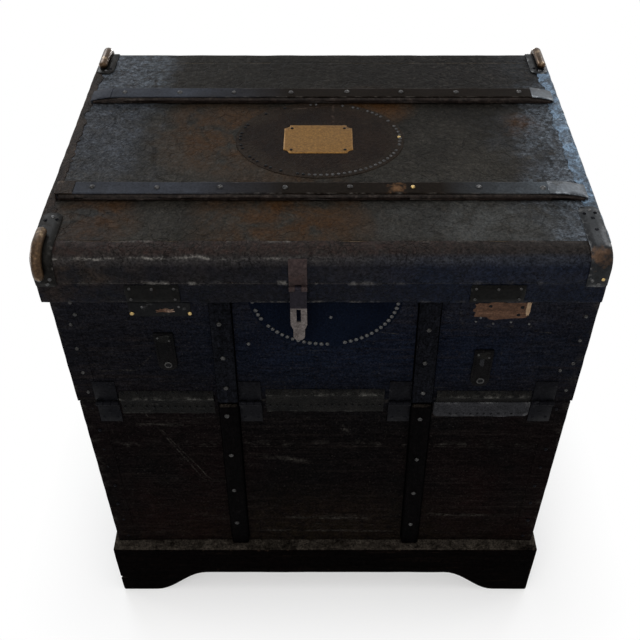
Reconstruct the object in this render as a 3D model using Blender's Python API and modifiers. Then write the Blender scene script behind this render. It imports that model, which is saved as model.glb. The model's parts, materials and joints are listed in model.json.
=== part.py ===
"""A travel trunk on a bracket-foot plinth, with a hinged lid and a fall front.

Every piece is its own object, in metres, with +Z up. The origin lies on the floor under the
middle of the trunk, and the front faces -Y. Lid, fall front, hasp and both end handles hang on
empties that sit on their pivots.
"""

import math

import bmesh
import bpy
from mathutils import Matrix, Vector

# Overall sizes
BODY_WIDTH = 0.796
BODY_DEPTH = 0.566
PLINTH_HEIGHT = 0.147
LOWER_HEIGHT = 0.4075
UPPER_HEIGHT = 0.230
LID_LIP_HEIGHT = 0.038
LID_RAIL_HEIGHT = 0.048

# Gaps: between touching pieces, at the seams that open, and between a pin and its bore
FIT_GAP = 0.0003
SEAM_GAP = 0.0008
RUN_GAP = 0.0003

# Boards of the body
WALL = 0.012
UPPER_STEP = 0.003
BOTTOM_BOARD = 0.012
POST_SIDE = 0.024

# Plinth
PLINTH_LEDGE = 0.022
PLINTH_SIDE_LEDGE = 0.010
PLINTH_BEARING = 0.023
ARCH_HEIGHT = 0.064
FOOT_WIDTH = 0.068
SIDE_FOOT_WIDTH = 0.022
FOOT_OGEE = 0.105
OGEE_STEPS = 10

# Lid, which sits a little to the left on its worn hinges
LID_FRONT_OVERHANG = 0.016
LID_SIDE_OVERHANG = 0.0015
LID_SHIFT = -0.005
LID_ROLL = 0.025
LID_BACK_ROLL = 0.006
LID_RAIL = 0.034
LID_BOARD = 0.012
LID_END = 0.016
ROLL_STEPS = 8

# Slats and the iron straps nailed over the lid's slats
SLAT_WIDTH = 0.036
SLAT_EDGE = 0.003
LID_SLAT_HEIGHT = 0.010
LID_SLAT_MARGIN = 0.0145
FRONT_SLAT_SETBACK = 0.144
BACK_SLAT_SETBACK = 0.161
STRAP_WIDTH = 0.029
STRAP_THICKNESS = 0.002
FACE_SLAT_WIDTH = 0.0315
FACE_SLAT_THICKNESS = 0.008
FACE_SLAT_SPACING = 0.307
FACE_SLAT_SPLAY = 0.018
FACE_SLAT_END_GAP = 0.004

# Corner guards on the lid and the bumper ribs riveted on them
GUARD_WIDTH = 0.030
GUARD_INSET = 0.001
GUARD_THICKNESS = 0.0022
GUARD_DROP = 0.054
GUARD_REACH = 0.112
LEFT_GUARD_REACH = 0.096
BACK_GUARD_REACH = 0.076
BUMPER_WIDTH = 0.016
BUMPER_INSET = 0.002
BUMPER_HEIGHT = 0.011
BUMPER_DROP = 0.036
BUMPER_REACH = 0.052
BACK_BUMPER_REACH = 0.062
BUMPER_ROUND = 0.0045

# Brass plate
PLATE_WIDTH = 0.110
PLATE_DEPTH = 0.082
PLATE_THICKNESS = 0.0015
PLATE_SHIFT = -0.006
PLATE_SETBACK = 0.293
PLATE_BITE = 0.009
BITE_STEPS = 5

# Hinges: leaves, knuckles and pins
LEAF_THICKNESS = 0.002
KNUCKLE_RADIUS = 0.004
PIN_RADIUS = 0.0018
HINGE_STANDOFF = 0.005
HINGE_ROUND = 16
FALL_LEAF_WIDTH = 0.036
FALL_LEAF_HEIGHT = 0.048
HINGE_SLAT_GAP = 0.002
HINGE_EDGE_GAP = 0.027
LID_LEAF_WIDTH = 0.060
LID_LEAF_HEIGHT = 0.050
LID_HINGE_EDGE_GAP = 0.128

# Hasp
HASP_X = -0.038
HASP_PIVOT_DROP = 0.006
HASP_STANDOFF = 0.006
HASP_PLATE_WIDTH = 0.026
HASP_PLATE_THICKNESS = 0.0025
HASP_PLATE_ARC = 40.0
TONGUE_WIDTH = 0.024
TONGUE_TIP_WIDTH = 0.017
TONGUE_THICKNESS = 0.003
TONGUE_SHOULDER = 0.069
TONGUE_LENGTH = 0.1003
SHOULDER_RUN = 0.009
SLOT_WIDTH = 0.0065
SLOT_TOP = 0.0383
SLOT_LENGTH = 0.025
TIP_STEPS = 6

# Lock plates on the lip and strap chapes on the fall front
LOCK_EDGE_GAP = 0.153
LOCK_WIDTH = 0.077
LOCK_MARGIN = 0.003
LOCK_THICKNESS = 0.002
CHAPE_EDGE_GAP = 0.154
CHAPE_WIDTH = 0.030
CHAPE_LENGTH = 0.081
CHAPE_THICKNESS = 0.004
CHAPE_DROP_LEFT = 0.073
CHAPE_DROP_RIGHT = 0.1095

# End handles
HANDLE_DROP = 0.110
HANDLE_PLATE_WIDTH = 0.150
HANDLE_PLATE_HEIGHT = 0.050
HANDLE_PLATE_THICKNESS = 0.003
EAR_SPACING = 0.124
EAR_WIDTH = 0.012
EAR_SIDE = 0.016
BAIL_RADIUS = 0.004
BAIL_STANDOFF = 0.008
BAIL_SIDE_GAP = 0.002
BAIL_DROP = 0.050
BAIL_CORNER = 0.012
CORNER_STEPS = 5
ROD_RESOLUTION = 2

# Levels and faces worked out from the sizes above. The origin lies under the middle of the whole
# trunk, which reaches from its front ribs to the back of its plinth.
RIB_LIFT = FIT_GAP + GUARD_THICKNESS + FIT_GAP
FRONT_REACH = LID_FRONT_OVERHANG + RIB_LIFT + BUMPER_HEIGHT
BODY_MIDDLE = (FRONT_REACH - PLINTH_LEDGE) / 2
FRONT = BODY_MIDDLE - BODY_DEPTH / 2
BACK = BODY_MIDDLE + BODY_DEPTH / 2
HALF_WIDTH = BODY_WIDTH / 2
MID_LEVEL = PLINTH_HEIGHT + LOWER_HEIGHT
RIM_LEVEL = MID_LEVEL + UPPER_HEIGHT
LID_BOTTOM = RIM_LEVEL + SEAM_GAP
LIP_TOP = LID_BOTTOM + LID_LIP_HEIGHT
RAIL_BOTTOM = LIP_TOP + FIT_GAP
LID_TOP = RAIL_BOTTOM + LID_RAIL_HEIGHT
UPPER_HALF = HALF_WIDTH + UPPER_STEP
LID_HALF = UPPER_HALF + LID_SIDE_OVERHANG
LID_LEFT = LID_SHIFT - LID_HALF
LID_RIGHT = LID_SHIFT + LID_HALF
LID_FRONT = FRONT - LID_FRONT_OVERHANG
LID_BACK = BACK
INNER_HALF = HALF_WIDTH - WALL - FIT_GAP
INNER_FRONT = FRONT + WALL + FIT_GAP
INNER_BACK = BACK - WALL - FIT_GAP
FALL_AXIS = Vector((0, FRONT - HINGE_STANDOFF, MID_LEVEL))
LID_AXIS = Vector((0, BACK + HINGE_STANDOFF, RIM_LEVEL + SEAM_GAP / 2))
HASP_AXIS = Vector((HASP_X, LID_FRONT - HASP_STANDOFF, LIP_TOP - HASP_PIVOT_DROP))
HANDLE_LEVEL = RIM_LEVEL - HANDLE_DROP
BAIL_X = UPPER_HALF + FIT_GAP + HANDLE_PLATE_THICKNESS + BAIL_STANDOFF
LEAF_CLEAR = KNUCKLE_RADIUS + RUN_GAP

# How an outline's own axes lie in the trunk: it is drawn in the two axes across its length
PLANES = {
    "X": Matrix(((0, 0, 1), (1, 0, 0), (0, 1, 0))),
    "Y": Matrix(((1, 0, 0), (0, 0, -1), (0, 1, 0))),
    "Z": Matrix.Identity(3),
}
DIRECTIONS = {"X": Vector((1, 0, 0)), "Y": Vector((0, 1, 0)), "Z": Vector((0, 0, 1))}


def clear_scene():
    for leftover in list(bpy.data.objects):
        bpy.data.objects.remove(leftover)


def new_collection(name):
    collection = bpy.data.collections.new(name)
    bpy.context.scene.collection.children.link(collection)
    return collection


def new_material(name, colour, roughness, metallic):
    material = bpy.data.materials.new(name)
    material.use_nodes = True
    shader = material.node_tree.nodes["Principled BSDF"]
    shader.inputs["Base Color"].default_value = (*colour, 1)
    shader.inputs["Roughness"].default_value = roughness
    shader.inputs["Metallic"].default_value = metallic
    return material


def new_pivot(name, place, parent=None):
    pivot = bpy.data.objects.new(name, None)
    pivot.location = place
    pivot.empty_display_size = 0.03
    parts.objects.link(pivot)
    if parent:
        hang(pivot, parent)
    return pivot


def hang(obj, parent):
    bpy.context.view_layer.update()
    obj.parent = parent
    obj.matrix_parent_inverse = parent.matrix_world.inverted()


def finish(name, mesh, matrix, material, parent=None, smooth=False):
    """Puts a finished mesh into the trunk under its own name."""
    mesh.name = name
    obj = bpy.data.objects.new(name, mesh)
    obj.matrix_world = matrix
    obj.data.materials.append(material)
    parts.objects.link(obj)
    if smooth:
        mesh.shade_smooth()
        mesh.set_sharp_from_angle(angle=math.radians(35))
    if parent:
        hang(obj, parent)
    return obj


def box(name, low, high, material, parent=None, edge=0.0):
    low, high = Vector(low), Vector(high)
    size = high - low
    bm = bmesh.new()
    bmesh.ops.create_cube(bm, size=1, matrix=Matrix.Diagonal((*size, 1)))
    mesh = bpy.data.meshes.new(name)
    bm.to_mesh(mesh)
    bm.free()
    obj = finish(name, mesh, Matrix.Translation((low + high) / 2), material, parent)
    if edge:
        round_edges(obj, edge)
    return obj


def round_edges(obj, width, segments=2):
    bevel = obj.modifiers.new("rounded_edges", "BEVEL")
    bevel.width = width
    bevel.segments = segments
    bevel.limit_method = "ANGLE"
    bevel.angle_limit = math.radians(40)


def cylinder(name, axis, centre, radius, length, material):
    bm = bmesh.new()
    bmesh.ops.create_cone(
        bm, cap_ends=True, segments=HINGE_ROUND, radius1=radius, radius2=radius, depth=length
    )
    mesh = bpy.data.meshes.new(name)
    bm.to_mesh(mesh)
    bm.free()
    turn = PLANES[axis].to_4x4()
    return finish(name, mesh, Matrix.Translation(centre) @ turn, material, smooth=True)


def mesh_of_curve(curve, matrix):
    """The welded, outward-facing mesh of a curve."""
    obj = bpy.data.objects.new(curve.name, curve)
    obj.matrix_world = matrix
    parts.objects.link(obj)
    graph = bpy.context.evaluated_depsgraph_get()
    mesh = bpy.data.meshes.new_from_object(obj.evaluated_get(graph))
    bpy.data.objects.remove(obj)
    bm = bmesh.new()
    bm.from_mesh(mesh)
    bmesh.ops.remove_doubles(bm, verts=bm.verts, dist=1e-6)
    bmesh.ops.recalc_face_normals(bm, faces=bm.faces)
    bm.to_mesh(mesh)
    bm.free()
    mesh.materials.clear()
    return mesh


def prism(name, outline, axis, low, high, material, parent=None, smooth=False):
    """A flat outline, drawn across the axis, carried along it from low to high."""
    curve = bpy.data.curves.new(name, "CURVE")
    curve.dimensions = "2D"
    curve.fill_mode = "BOTH"
    curve.extrude = (high - low) / 2
    spline = curve.splines.new("POLY")
    spline.points.add(len(outline) - 1)
    for point, (u, v) in zip(spline.points, outline):
        point.co = (u, v, 0, 1)
    spline.use_cyclic_u = True
    middle = DIRECTIONS[axis] * ((low + high) / 2)
    matrix = Matrix.Translation(middle) @ PLANES[axis].to_4x4()
    mesh = mesh_of_curve(curve, matrix)
    return finish(name, mesh, matrix, material, parent, smooth)


def rod(name, points, radius, material, parent=None):
    curve = bpy.data.curves.new(name, "CURVE")
    curve.dimensions = "3D"
    curve.bevel_depth = radius
    curve.bevel_resolution = ROD_RESOLUTION
    curve.use_fill_caps = True
    spline = curve.splines.new("POLY")
    spline.points.add(len(points) - 1)
    for point, place in zip(spline.points, points):
        point.co = (*place, 1)
    mesh = mesh_of_curve(curve, Matrix.Identity(4))
    return finish(name, mesh, Matrix.Identity(4), material, parent, smooth=True)


def combine(obj, other, operation):
    """Joins or cuts one solid with another, which is kept as a hidden helper."""
    boolean = obj.modifiers.new(other.name, "BOOLEAN")
    boolean.operation = operation
    boolean.object = other
    parts.objects.unlink(other)
    cutters.objects.link(other)
    other.hide_render = True
    other.display_type = "WIRE"


def arc(centre, radius, start, end, steps):
    """Points along an arc, with its angles in degrees."""
    points = []
    for step in range(steps + 1):
        angle = math.radians(start + (end - start) * step / steps)
        points.append((centre[0] + radius * math.cos(angle), centre[1] + radius * math.sin(angle)))
    return points


# Plinth
def plinth_outline(middle, half_length, foot):
    """A base board with a flat foot at each end and an ogee rise to the arch between them."""
    rise = []
    for step in range(OGEE_STEPS + 1):
        share = step / OGEE_STEPS
        rise.append((foot + FOOT_OGEE * share, ARCH_HEIGHT * (1 - math.cos(math.pi * share)) / 2))
    low, high = middle - half_length, middle + half_length
    left = [(low + u, v) for u, v in rise]
    right = [(high - u, v) for u, v in reversed(rise)]
    return [(low, PLINTH_HEIGHT), (low, 0)] + left + right + [(high, 0), (high, PLINTH_HEIGHT)]


def build_plinth():
    half_x = HALF_WIDTH + PLINTH_SIDE_LEDGE
    low_y, high_y = FRONT - PLINTH_LEDGE, BACK + PLINTH_LEDGE
    deep = PLINTH_LEDGE + PLINTH_BEARING
    wide = PLINTH_SIDE_LEDGE + PLINTH_BEARING
    front = plinth_outline(0, half_x, FOOT_WIDTH)
    side = plinth_outline(BODY_MIDDLE, (high_y - low_y) / 2 - deep - FIT_GAP, SIDE_FOOT_WIDTH)
    prism("plinth_front", front, "Y", low_y, low_y + deep, plinth_wood)
    prism("plinth_back", front, "Y", high_y - deep, high_y, plinth_wood)
    prism("plinth_left", side, "X", -half_x, -half_x + wide, plinth_wood)
    prism("plinth_right", side, "X", half_x - wide, half_x, plinth_wood)


# Body
def build_body():
    floor = PLINTH_HEIGHT + FIT_GAP
    bottom_top = floor + BOTTOM_BOARD
    box(
        "bottom_board",
        (-INNER_HALF, INNER_FRONT, floor),
        (INNER_HALF, INNER_BACK, bottom_top),
        pine,
    )
    box(
        "lower_front",
        (-HALF_WIDTH, FRONT, floor),
        (HALF_WIDTH, FRONT + WALL, MID_LEVEL - SEAM_GAP / 2),
        canvas,
    )
    box("back_panel", (-INNER_HALF, BACK - WALL, floor), (INNER_HALF, BACK, RIM_LEVEL), canvas)
    for side, sign in (("left", -1), ("right", 1)):
        inner = sign * (HALF_WIDTH - WALL)
        lower = sorted((inner, sign * HALF_WIDTH))
        upper = sorted((inner, sign * UPPER_HALF))
        post = sorted((sign * INNER_HALF, sign * (INNER_HALF - POST_SIDE)))
        box(
            f"lower_{side}",
            (lower[0], INNER_FRONT, floor),
            (lower[1], BACK, MID_LEVEL - FIT_GAP / 2),
            canvas,
        )
        box(
            f"upper_{side}",
            (upper[0], INNER_FRONT, MID_LEVEL + FIT_GAP / 2),
            (upper[1], BACK, RIM_LEVEL),
            canvas,
        )
        box(
            f"front_post_{side}",
            (post[0], INNER_FRONT, bottom_top + FIT_GAP),
            (post[1], INNER_FRONT + POST_SIDE, RIM_LEVEL),
            pine,
        )
        face_slat(f"lower_slat_{side}", sign, PLINTH_HEIGHT + FIT_GAP, MID_LEVEL - FACE_SLAT_END_GAP)


def slat_centre(level):
    """How far a face slat stands from the trunk's middle: the two spread a little downwards."""
    share = (RIM_LEVEL - level) / (RIM_LEVEL - PLINTH_HEIGHT)
    return (FACE_SLAT_SPACING + FACE_SLAT_SPLAY * share) / 2


def face_slat(name, sign, bottom, top, parent=None):
    half = FACE_SLAT_WIDTH / 2
    low, high = sign * slat_centre(bottom), sign * slat_centre(top)
    outline = [(low - half, bottom), (low + half, bottom), (high + half, top), (high - half, top)]
    outer = FRONT - FIT_GAP - FACE_SLAT_THICKNESS
    slat = prism(name, outline, "Y", outer, FRONT - FIT_GAP, slat_wood, parent)
    round_edges(slat, SLAT_EDGE)


# Fall front
def build_fall():
    box(
        "fall_panel",
        (-UPPER_HALF, FRONT, MID_LEVEL + SEAM_GAP / 2),
        (UPPER_HALF, FRONT + WALL, RIM_LEVEL),
        canvas,
        fall_pivot,
    )
    for side, sign in (("left", -1), ("right", 1)):
        bottom = MID_LEVEL + FACE_SLAT_END_GAP
        face_slat(f"fall_slat_{side}", sign, bottom, RIM_LEVEL - SEAM_GAP, fall_pivot)
    from_middle = HALF_WIDTH - CHAPE_EDGE_GAP
    build_chape("strap_chape_left", -from_middle, CHAPE_DROP_LEFT)
    build_chape("strap_chape_right", from_middle, CHAPE_DROP_RIGHT)


def build_chape(name, centre, drop):
    """A stitched strap end with a round bottom."""
    half = CHAPE_WIDTH / 2
    top = RIM_LEVEL - drop
    round_centre = (centre, top - CHAPE_LENGTH + half)
    outline = [(centre - half, top)] + arc(round_centre, half, 180, 360, ROLL_STEPS)
    outline.append((centre + half, top))
    outer = FRONT - FIT_GAP - CHAPE_THICKNESS
    prism(name, outline, "Y", outer, FRONT - FIT_GAP, leather, fall_pivot)


# Hinges
def knuckle_spans(centre, width):
    """The two outer knuckles and the one between them, as ranges along X."""
    low, high = centre - width / 2, centre + width / 2
    third = width / 3
    outer = [(low, low + third - RUN_GAP), (high - third + RUN_GAP, high)]
    return outer, [(low + third + RUN_GAP, high - third - RUN_GAP)]


def add_knuckles(leaf, axis, spans, tab_low, tab_high):
    """Rolls a leaf round the pivot over the given ranges, with a tab from the plate to each."""
    for number, (low, high) in enumerate(spans):
        tab = box(
            f"{leaf.name}_tab_{number}",
            (low, tab_low[0], tab_low[1]),
            (high, tab_high[0], tab_high[1]),
            iron,
        )
        centre = Vector(((low + high) / 2, axis.y, axis.z))
        roll = cylinder(f"{leaf.name}_roll_{number}", "X", centre, KNUCKLE_RADIUS, high - low, iron)
        combine(leaf, tab, "UNION")
        combine(leaf, roll, "UNION")


def add_pin(leaf, axis, centre, width):
    place = Vector((centre, axis.y, axis.z))
    pin = cylinder(f"{leaf.name}_pin", "X", place, PIN_RADIUS, width, iron)
    combine(leaf, pin, "UNION")


def add_bore(leaf, axis, centre, width):
    place = Vector((centre, axis.y, axis.z))
    bore = cylinder(f"{leaf.name}_bore", "X", place, PIN_RADIUS + RUN_GAP, width, iron)
    combine(leaf, bore, "DIFFERENCE")


def hinge_leaf(name, axis, face, centre, width, height, upward, carries_pin, parent=None):
    """One leaf of a surface hinge, lying on a front or back face above or below its pivot."""
    outward = 1 if axis.y > face else -1
    near = face + outward * FIT_GAP
    far = near + outward * LEAF_THICKNESS
    root = axis.z + upward * LEAF_CLEAR
    end = axis.z + upward * height
    overlap = axis.z + upward * (LEAF_CLEAR + LEAF_THICKNESS)
    y_low, y_high = sorted((near, far))
    z_low, z_high = sorted((root, end))
    left, right = centre - width / 2, centre + width / 2
    leaf = box(name, (left, y_low, z_low), (right, y_high, z_high), iron, parent)
    outer, middle = knuckle_spans(centre, width)
    tab = sorted((axis.z, overlap))
    spans = outer if carries_pin else middle
    add_knuckles(leaf, axis, spans, (y_low, tab[0]), (y_high, tab[1]))
    if carries_pin:
        add_pin(leaf, axis, centre, width)
    else:
        add_bore(leaf, axis, centre, width)


def build_hinges():
    inner = slat_centre(MID_LEVEL) - FACE_SLAT_WIDTH / 2 - HINGE_SLAT_GAP - FALL_LEAF_WIDTH / 2
    outer = HALF_WIDTH - HINGE_EDGE_GAP - FALL_LEAF_WIDTH / 2
    places = {
        "outer_left": -outer,
        "inner_left": -inner,
        "inner_right": inner,
        "outer_right": outer,
    }
    size = (FALL_LEAF_WIDTH, FALL_LEAF_HEIGHT)
    for place, centre in places.items():
        hinge_leaf(f"fall_hinge_lower_{place}", FALL_AXIS, FRONT, centre, *size, -1, True)
        hinge_leaf(f"fall_hinge_upper_{place}", FALL_AXIS, FRONT, centre, *size, 1, False, fall_pivot)
    size = (LID_LEAF_WIDTH, LID_LEAF_HEIGHT)
    for side, sign in (("left", -1), ("right", 1)):
        centre = sign * (HALF_WIDTH - LID_HINGE_EDGE_GAP - LID_LEAF_WIDTH / 2)
        hinge_leaf(f"lid_hinge_body_{side}", LID_AXIS, BACK, centre, *size, -1, True)
        hinge_leaf(f"lid_hinge_lid_{side}", LID_AXIS, LID_BACK, centre, *size, 1, False, lid_pivot)


# Lid
def roll_path(lift, drop, reach, end_angle=90.0, roll=LID_ROLL):
    """A line over the lid's front edge, drawn in Y and Z: up the face, round the roll and back.

    It stands off the lid by lift, starts drop below the lid's top and, where the roll is passed
    to the full, runs reach behind the lid's front.
    """
    centre = (LID_FRONT + roll, LID_TOP - roll)
    points = [(LID_FRONT - lift, LID_TOP - drop)]
    points += arc(centre, roll + lift, 180, 180 - end_angle, ROLL_STEPS)
    if end_angle == 90.0:
        points.append((LID_FRONT + reach, LID_TOP + lift))
    return points


def bent_strip(near, far, drop, reach, end_angle=90.0, roll=LID_ROLL):
    """The outline of a strip of even thickness bent over the lid's front edge."""
    outside = roll_path(far, drop, reach, end_angle, roll)
    return roll_path(near, drop, reach, end_angle, roll) + outside[::-1]


def to_back(outline):
    """The same outline over the lid's back edge."""
    return [(LID_FRONT + LID_BACK - u, v) for u, v in outline]


def build_lid():
    rail_front = LID_FRONT + LID_RAIL
    rail_back = LID_BACK - LID_RAIL
    under_board = LID_TOP - LID_BOARD - FIT_GAP
    front_rail = roll_path(0, LID_RAIL_HEIGHT, LID_RAIL) + [(rail_front, RAIL_BOTTOM)]
    back_rail = roll_path(0, LID_TOP - LID_BOTTOM, LID_RAIL, roll=LID_BACK_ROLL)
    back_rail = to_back(back_rail + [(rail_front, LID_BOTTOM)])
    prism("lid_front_rail", front_rail, "X", LID_LEFT, LID_RIGHT, canvas, lid_pivot, True)
    prism("lid_back_rail", back_rail, "X", LID_LEFT, LID_RIGHT, canvas, lid_pivot, True)
    box(
        "lid_front_lip",
        (LID_LEFT, LID_FRONT, LID_BOTTOM),
        (LID_RIGHT, rail_front, LIP_TOP),
        canvas,
        lid_pivot,
    )
    box(
        "lid_top_board",
        (LID_LEFT, rail_front + FIT_GAP, LID_TOP - LID_BOARD),
        (LID_RIGHT, rail_back - FIT_GAP, LID_TOP),
        canvas,
        lid_pivot,
    )
    for side, low in (("left", LID_LEFT), ("right", LID_RIGHT - LID_END)):
        high = low + LID_END
        box(
            f"lid_{side}_end",
            (low, rail_front + FIT_GAP, LID_BOTTOM),
            (high, rail_back - FIT_GAP, under_board),
            canvas,
            lid_pivot,
        )


def build_lid_slats():
    rows = {"front": LID_FRONT + FRONT_SLAT_SETBACK, "back": LID_BACK - BACK_SLAT_SETBACK}
    half = LID_HALF - LID_SLAT_MARGIN
    bottom = LID_TOP + FIT_GAP
    top = bottom + LID_SLAT_HEIGHT
    inside = half + FIT_GAP
    outside = inside + STRAP_THICKNESS
    strap_bottom = top + FIT_GAP
    strap_top = strap_bottom + STRAP_THICKNESS
    strap = [(-outside, bottom), (-inside, bottom), (-inside, strap_bottom), (inside, strap_bottom)]
    strap += [(inside, bottom), (outside, bottom), (outside, strap_top), (-outside, strap_top)]
    strap = [(LID_SHIFT + u, v) for u, v in strap]
    for row, centre in rows.items():
        box(
            f"lid_slat_{row}",
            (LID_SHIFT - half, centre - SLAT_WIDTH / 2, bottom),
            (LID_SHIFT + half, centre + SLAT_WIDTH / 2, top),
            slat_wood,
            lid_pivot,
            SLAT_EDGE,
        )
        low, high = centre - STRAP_WIDTH / 2, centre + STRAP_WIDTH / 2
        prism(f"lid_strap_{row}", strap, "Y", low, high, iron, lid_pivot)


def lid_span(sign, inset, width):
    """A range along X that starts an inset from one end of the lid."""
    outside = LID_HALF - inset
    return sorted((LID_SHIFT + sign * outside, LID_SHIFT + sign * (outside - width)))


def build_corner_guards():
    """The front left guard is shorter than the right one, and the front ribs than the back ones."""
    corners = (
        ("front", "left", -1, LID_ROLL, LEFT_GUARD_REACH, BUMPER_REACH),
        ("front", "right", 1, LID_ROLL, GUARD_REACH, 0),
        ("back", "left", -1, LID_BACK_ROLL, BACK_GUARD_REACH, BACK_BUMPER_REACH),
        ("back", "right", 1, LID_BACK_ROLL, BACK_GUARD_REACH, BACK_BUMPER_REACH),
    )
    for row, side, sign, roll, guard_reach, rib_reach in corners:
        guard = bent_strip(FIT_GAP, FIT_GAP + GUARD_THICKNESS, GUARD_DROP, guard_reach, roll=roll)
        guard = guard if row == "front" else to_back(guard)
        span = lid_span(sign, GUARD_INSET, GUARD_WIDTH)
        prism(f"corner_guard_{row}_{side}", guard, "X", *span, iron, lid_pivot, True)
        if not rib_reach:
            continue  # the front right rib is lost on the real trunk
        rib = bent_strip(RIB_LIFT, RIB_LIFT + BUMPER_HEIGHT, BUMPER_DROP, rib_reach, roll=roll)
        rib = rib if row == "front" else to_back(rib)
        span = lid_span(sign, GUARD_INSET + BUMPER_INSET, BUMPER_WIDTH)
        bumper = prism(f"bumper_{row}_{side}", rib, "X", *span, bronze, lid_pivot, True)
        round_edges(bumper, BUMPER_ROUND)


def build_nameplate():
    """A bare brass plate whose corners are bitten away in quarter rounds."""
    half_x, half_y = PLATE_WIDTH / 2, PLATE_DEPTH / 2
    centre_x, centre_y = LID_SHIFT + PLATE_SHIFT, LID_FRONT + PLATE_SETBACK
    outline = []
    for corner_x, corner_y, start in ((1, 1, 270), (-1, 1, 0), (-1, -1, 90), (1, -1, 180)):
        corner = (centre_x + corner_x * half_x, centre_y + corner_y * half_y)
        outline += arc(corner, PLATE_BITE, start, start - 90, BITE_STEPS)
    bottom = LID_TOP + FIT_GAP
    prism("nameplate", outline, "Z", bottom, bottom + PLATE_THICKNESS, brass, lid_pivot)


# Hasp
def build_hasp():
    left, right = HASP_X - HASP_PLATE_WIDTH / 2, HASP_X + HASP_PLATE_WIDTH / 2
    drop = LID_TOP - HASP_AXIS.z - LEAF_CLEAR
    far = FIT_GAP + HASP_PLATE_THICKNESS
    strip = bent_strip(FIT_GAP, far, drop, 0, HASP_PLATE_ARC)
    plate = prism("hasp_plate", strip, "X", left, right, rusty_iron, lid_pivot, True)
    outer, middle = knuckle_spans(HASP_X, HASP_PLATE_WIDTH)
    overlap = HASP_AXIS.z + LEAF_CLEAR + HASP_PLATE_THICKNESS
    add_knuckles(
        plate,
        HASP_AXIS,
        outer,
        (LID_FRONT - far, HASP_AXIS.z),
        (LID_FRONT - FIT_GAP, overlap),
    )
    add_pin(plate, HASP_AXIS, HASP_X, HASP_PLATE_WIDTH)

    wide, narrow = TONGUE_WIDTH / 2, TONGUE_TIP_WIDTH / 2
    top = HASP_AXIS.z - LEAF_CLEAR
    shoulder = HASP_AXIS.z - TONGUE_SHOULDER
    tip = (HASP_X, HASP_AXIS.z - TONGUE_LENGTH + narrow)
    outline = [(HASP_X - wide, top), (HASP_X - wide, shoulder)]
    outline += [(HASP_X - narrow, shoulder - SHOULDER_RUN)] + arc(tip, narrow, 180, 360, TIP_STEPS)
    outline += [(HASP_X + narrow, shoulder - SHOULDER_RUN)]
    outline += [(HASP_X + wide, shoulder), (HASP_X + wide, top)]
    y_low, y_high = HASP_AXIS.y - TONGUE_THICKNESS / 2, HASP_AXIS.y + TONGUE_THICKNESS / 2
    tongue = prism("hasp_tongue", outline, "Y", y_low, y_high, iron, hasp_pivot)
    tab_bottom = top - TONGUE_THICKNESS
    add_knuckles(tongue, HASP_AXIS, middle, (y_low, tab_bottom), (y_high, HASP_AXIS.z))
    add_bore(tongue, HASP_AXIS, HASP_X, HASP_PLATE_WIDTH)
    slot_top = HASP_AXIS.z - SLOT_TOP
    slot = box(
        "hasp_slot",
        (HASP_X - SLOT_WIDTH / 2, y_low - TONGUE_THICKNESS, slot_top - SLOT_LENGTH),
        (HASP_X + SLOT_WIDTH / 2, y_high + TONGUE_THICKNESS, slot_top),
        iron,
    )
    combine(tongue, slot, "DIFFERENCE")


def build_lock_plates():
    for side, sign in (("left", -1), ("right", 1)):
        centre = sign * (HALF_WIDTH - LOCK_EDGE_GAP)
        box(
            f"lid_lock_plate_{side}",
            (centre - LOCK_WIDTH / 2, LID_FRONT - FIT_GAP - LOCK_THICKNESS, LID_BOTTOM + LOCK_MARGIN),
            (centre + LOCK_WIDTH / 2, LID_FRONT - FIT_GAP, LIP_TOP - LOCK_MARGIN),
            iron,
            lid_pivot,
        )


# End handles
def rounded_path(corners, radius, steps):
    """A line through the corners, with an arc of the given radius at each inner one."""
    points = [corners[0]]
    for before, corner, after in zip(corners, corners[1:], corners[2:]):
        into, out = (corner - before).normalized(), (after - corner).normalized()
        centre = corner - into * radius + out * radius
        for step in range(steps + 1):
            angle = math.pi / 2 * step / steps
            points.append(centre - out * radius * math.cos(angle) + into * radius * math.sin(angle))
    return points + [corners[-1]]


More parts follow.
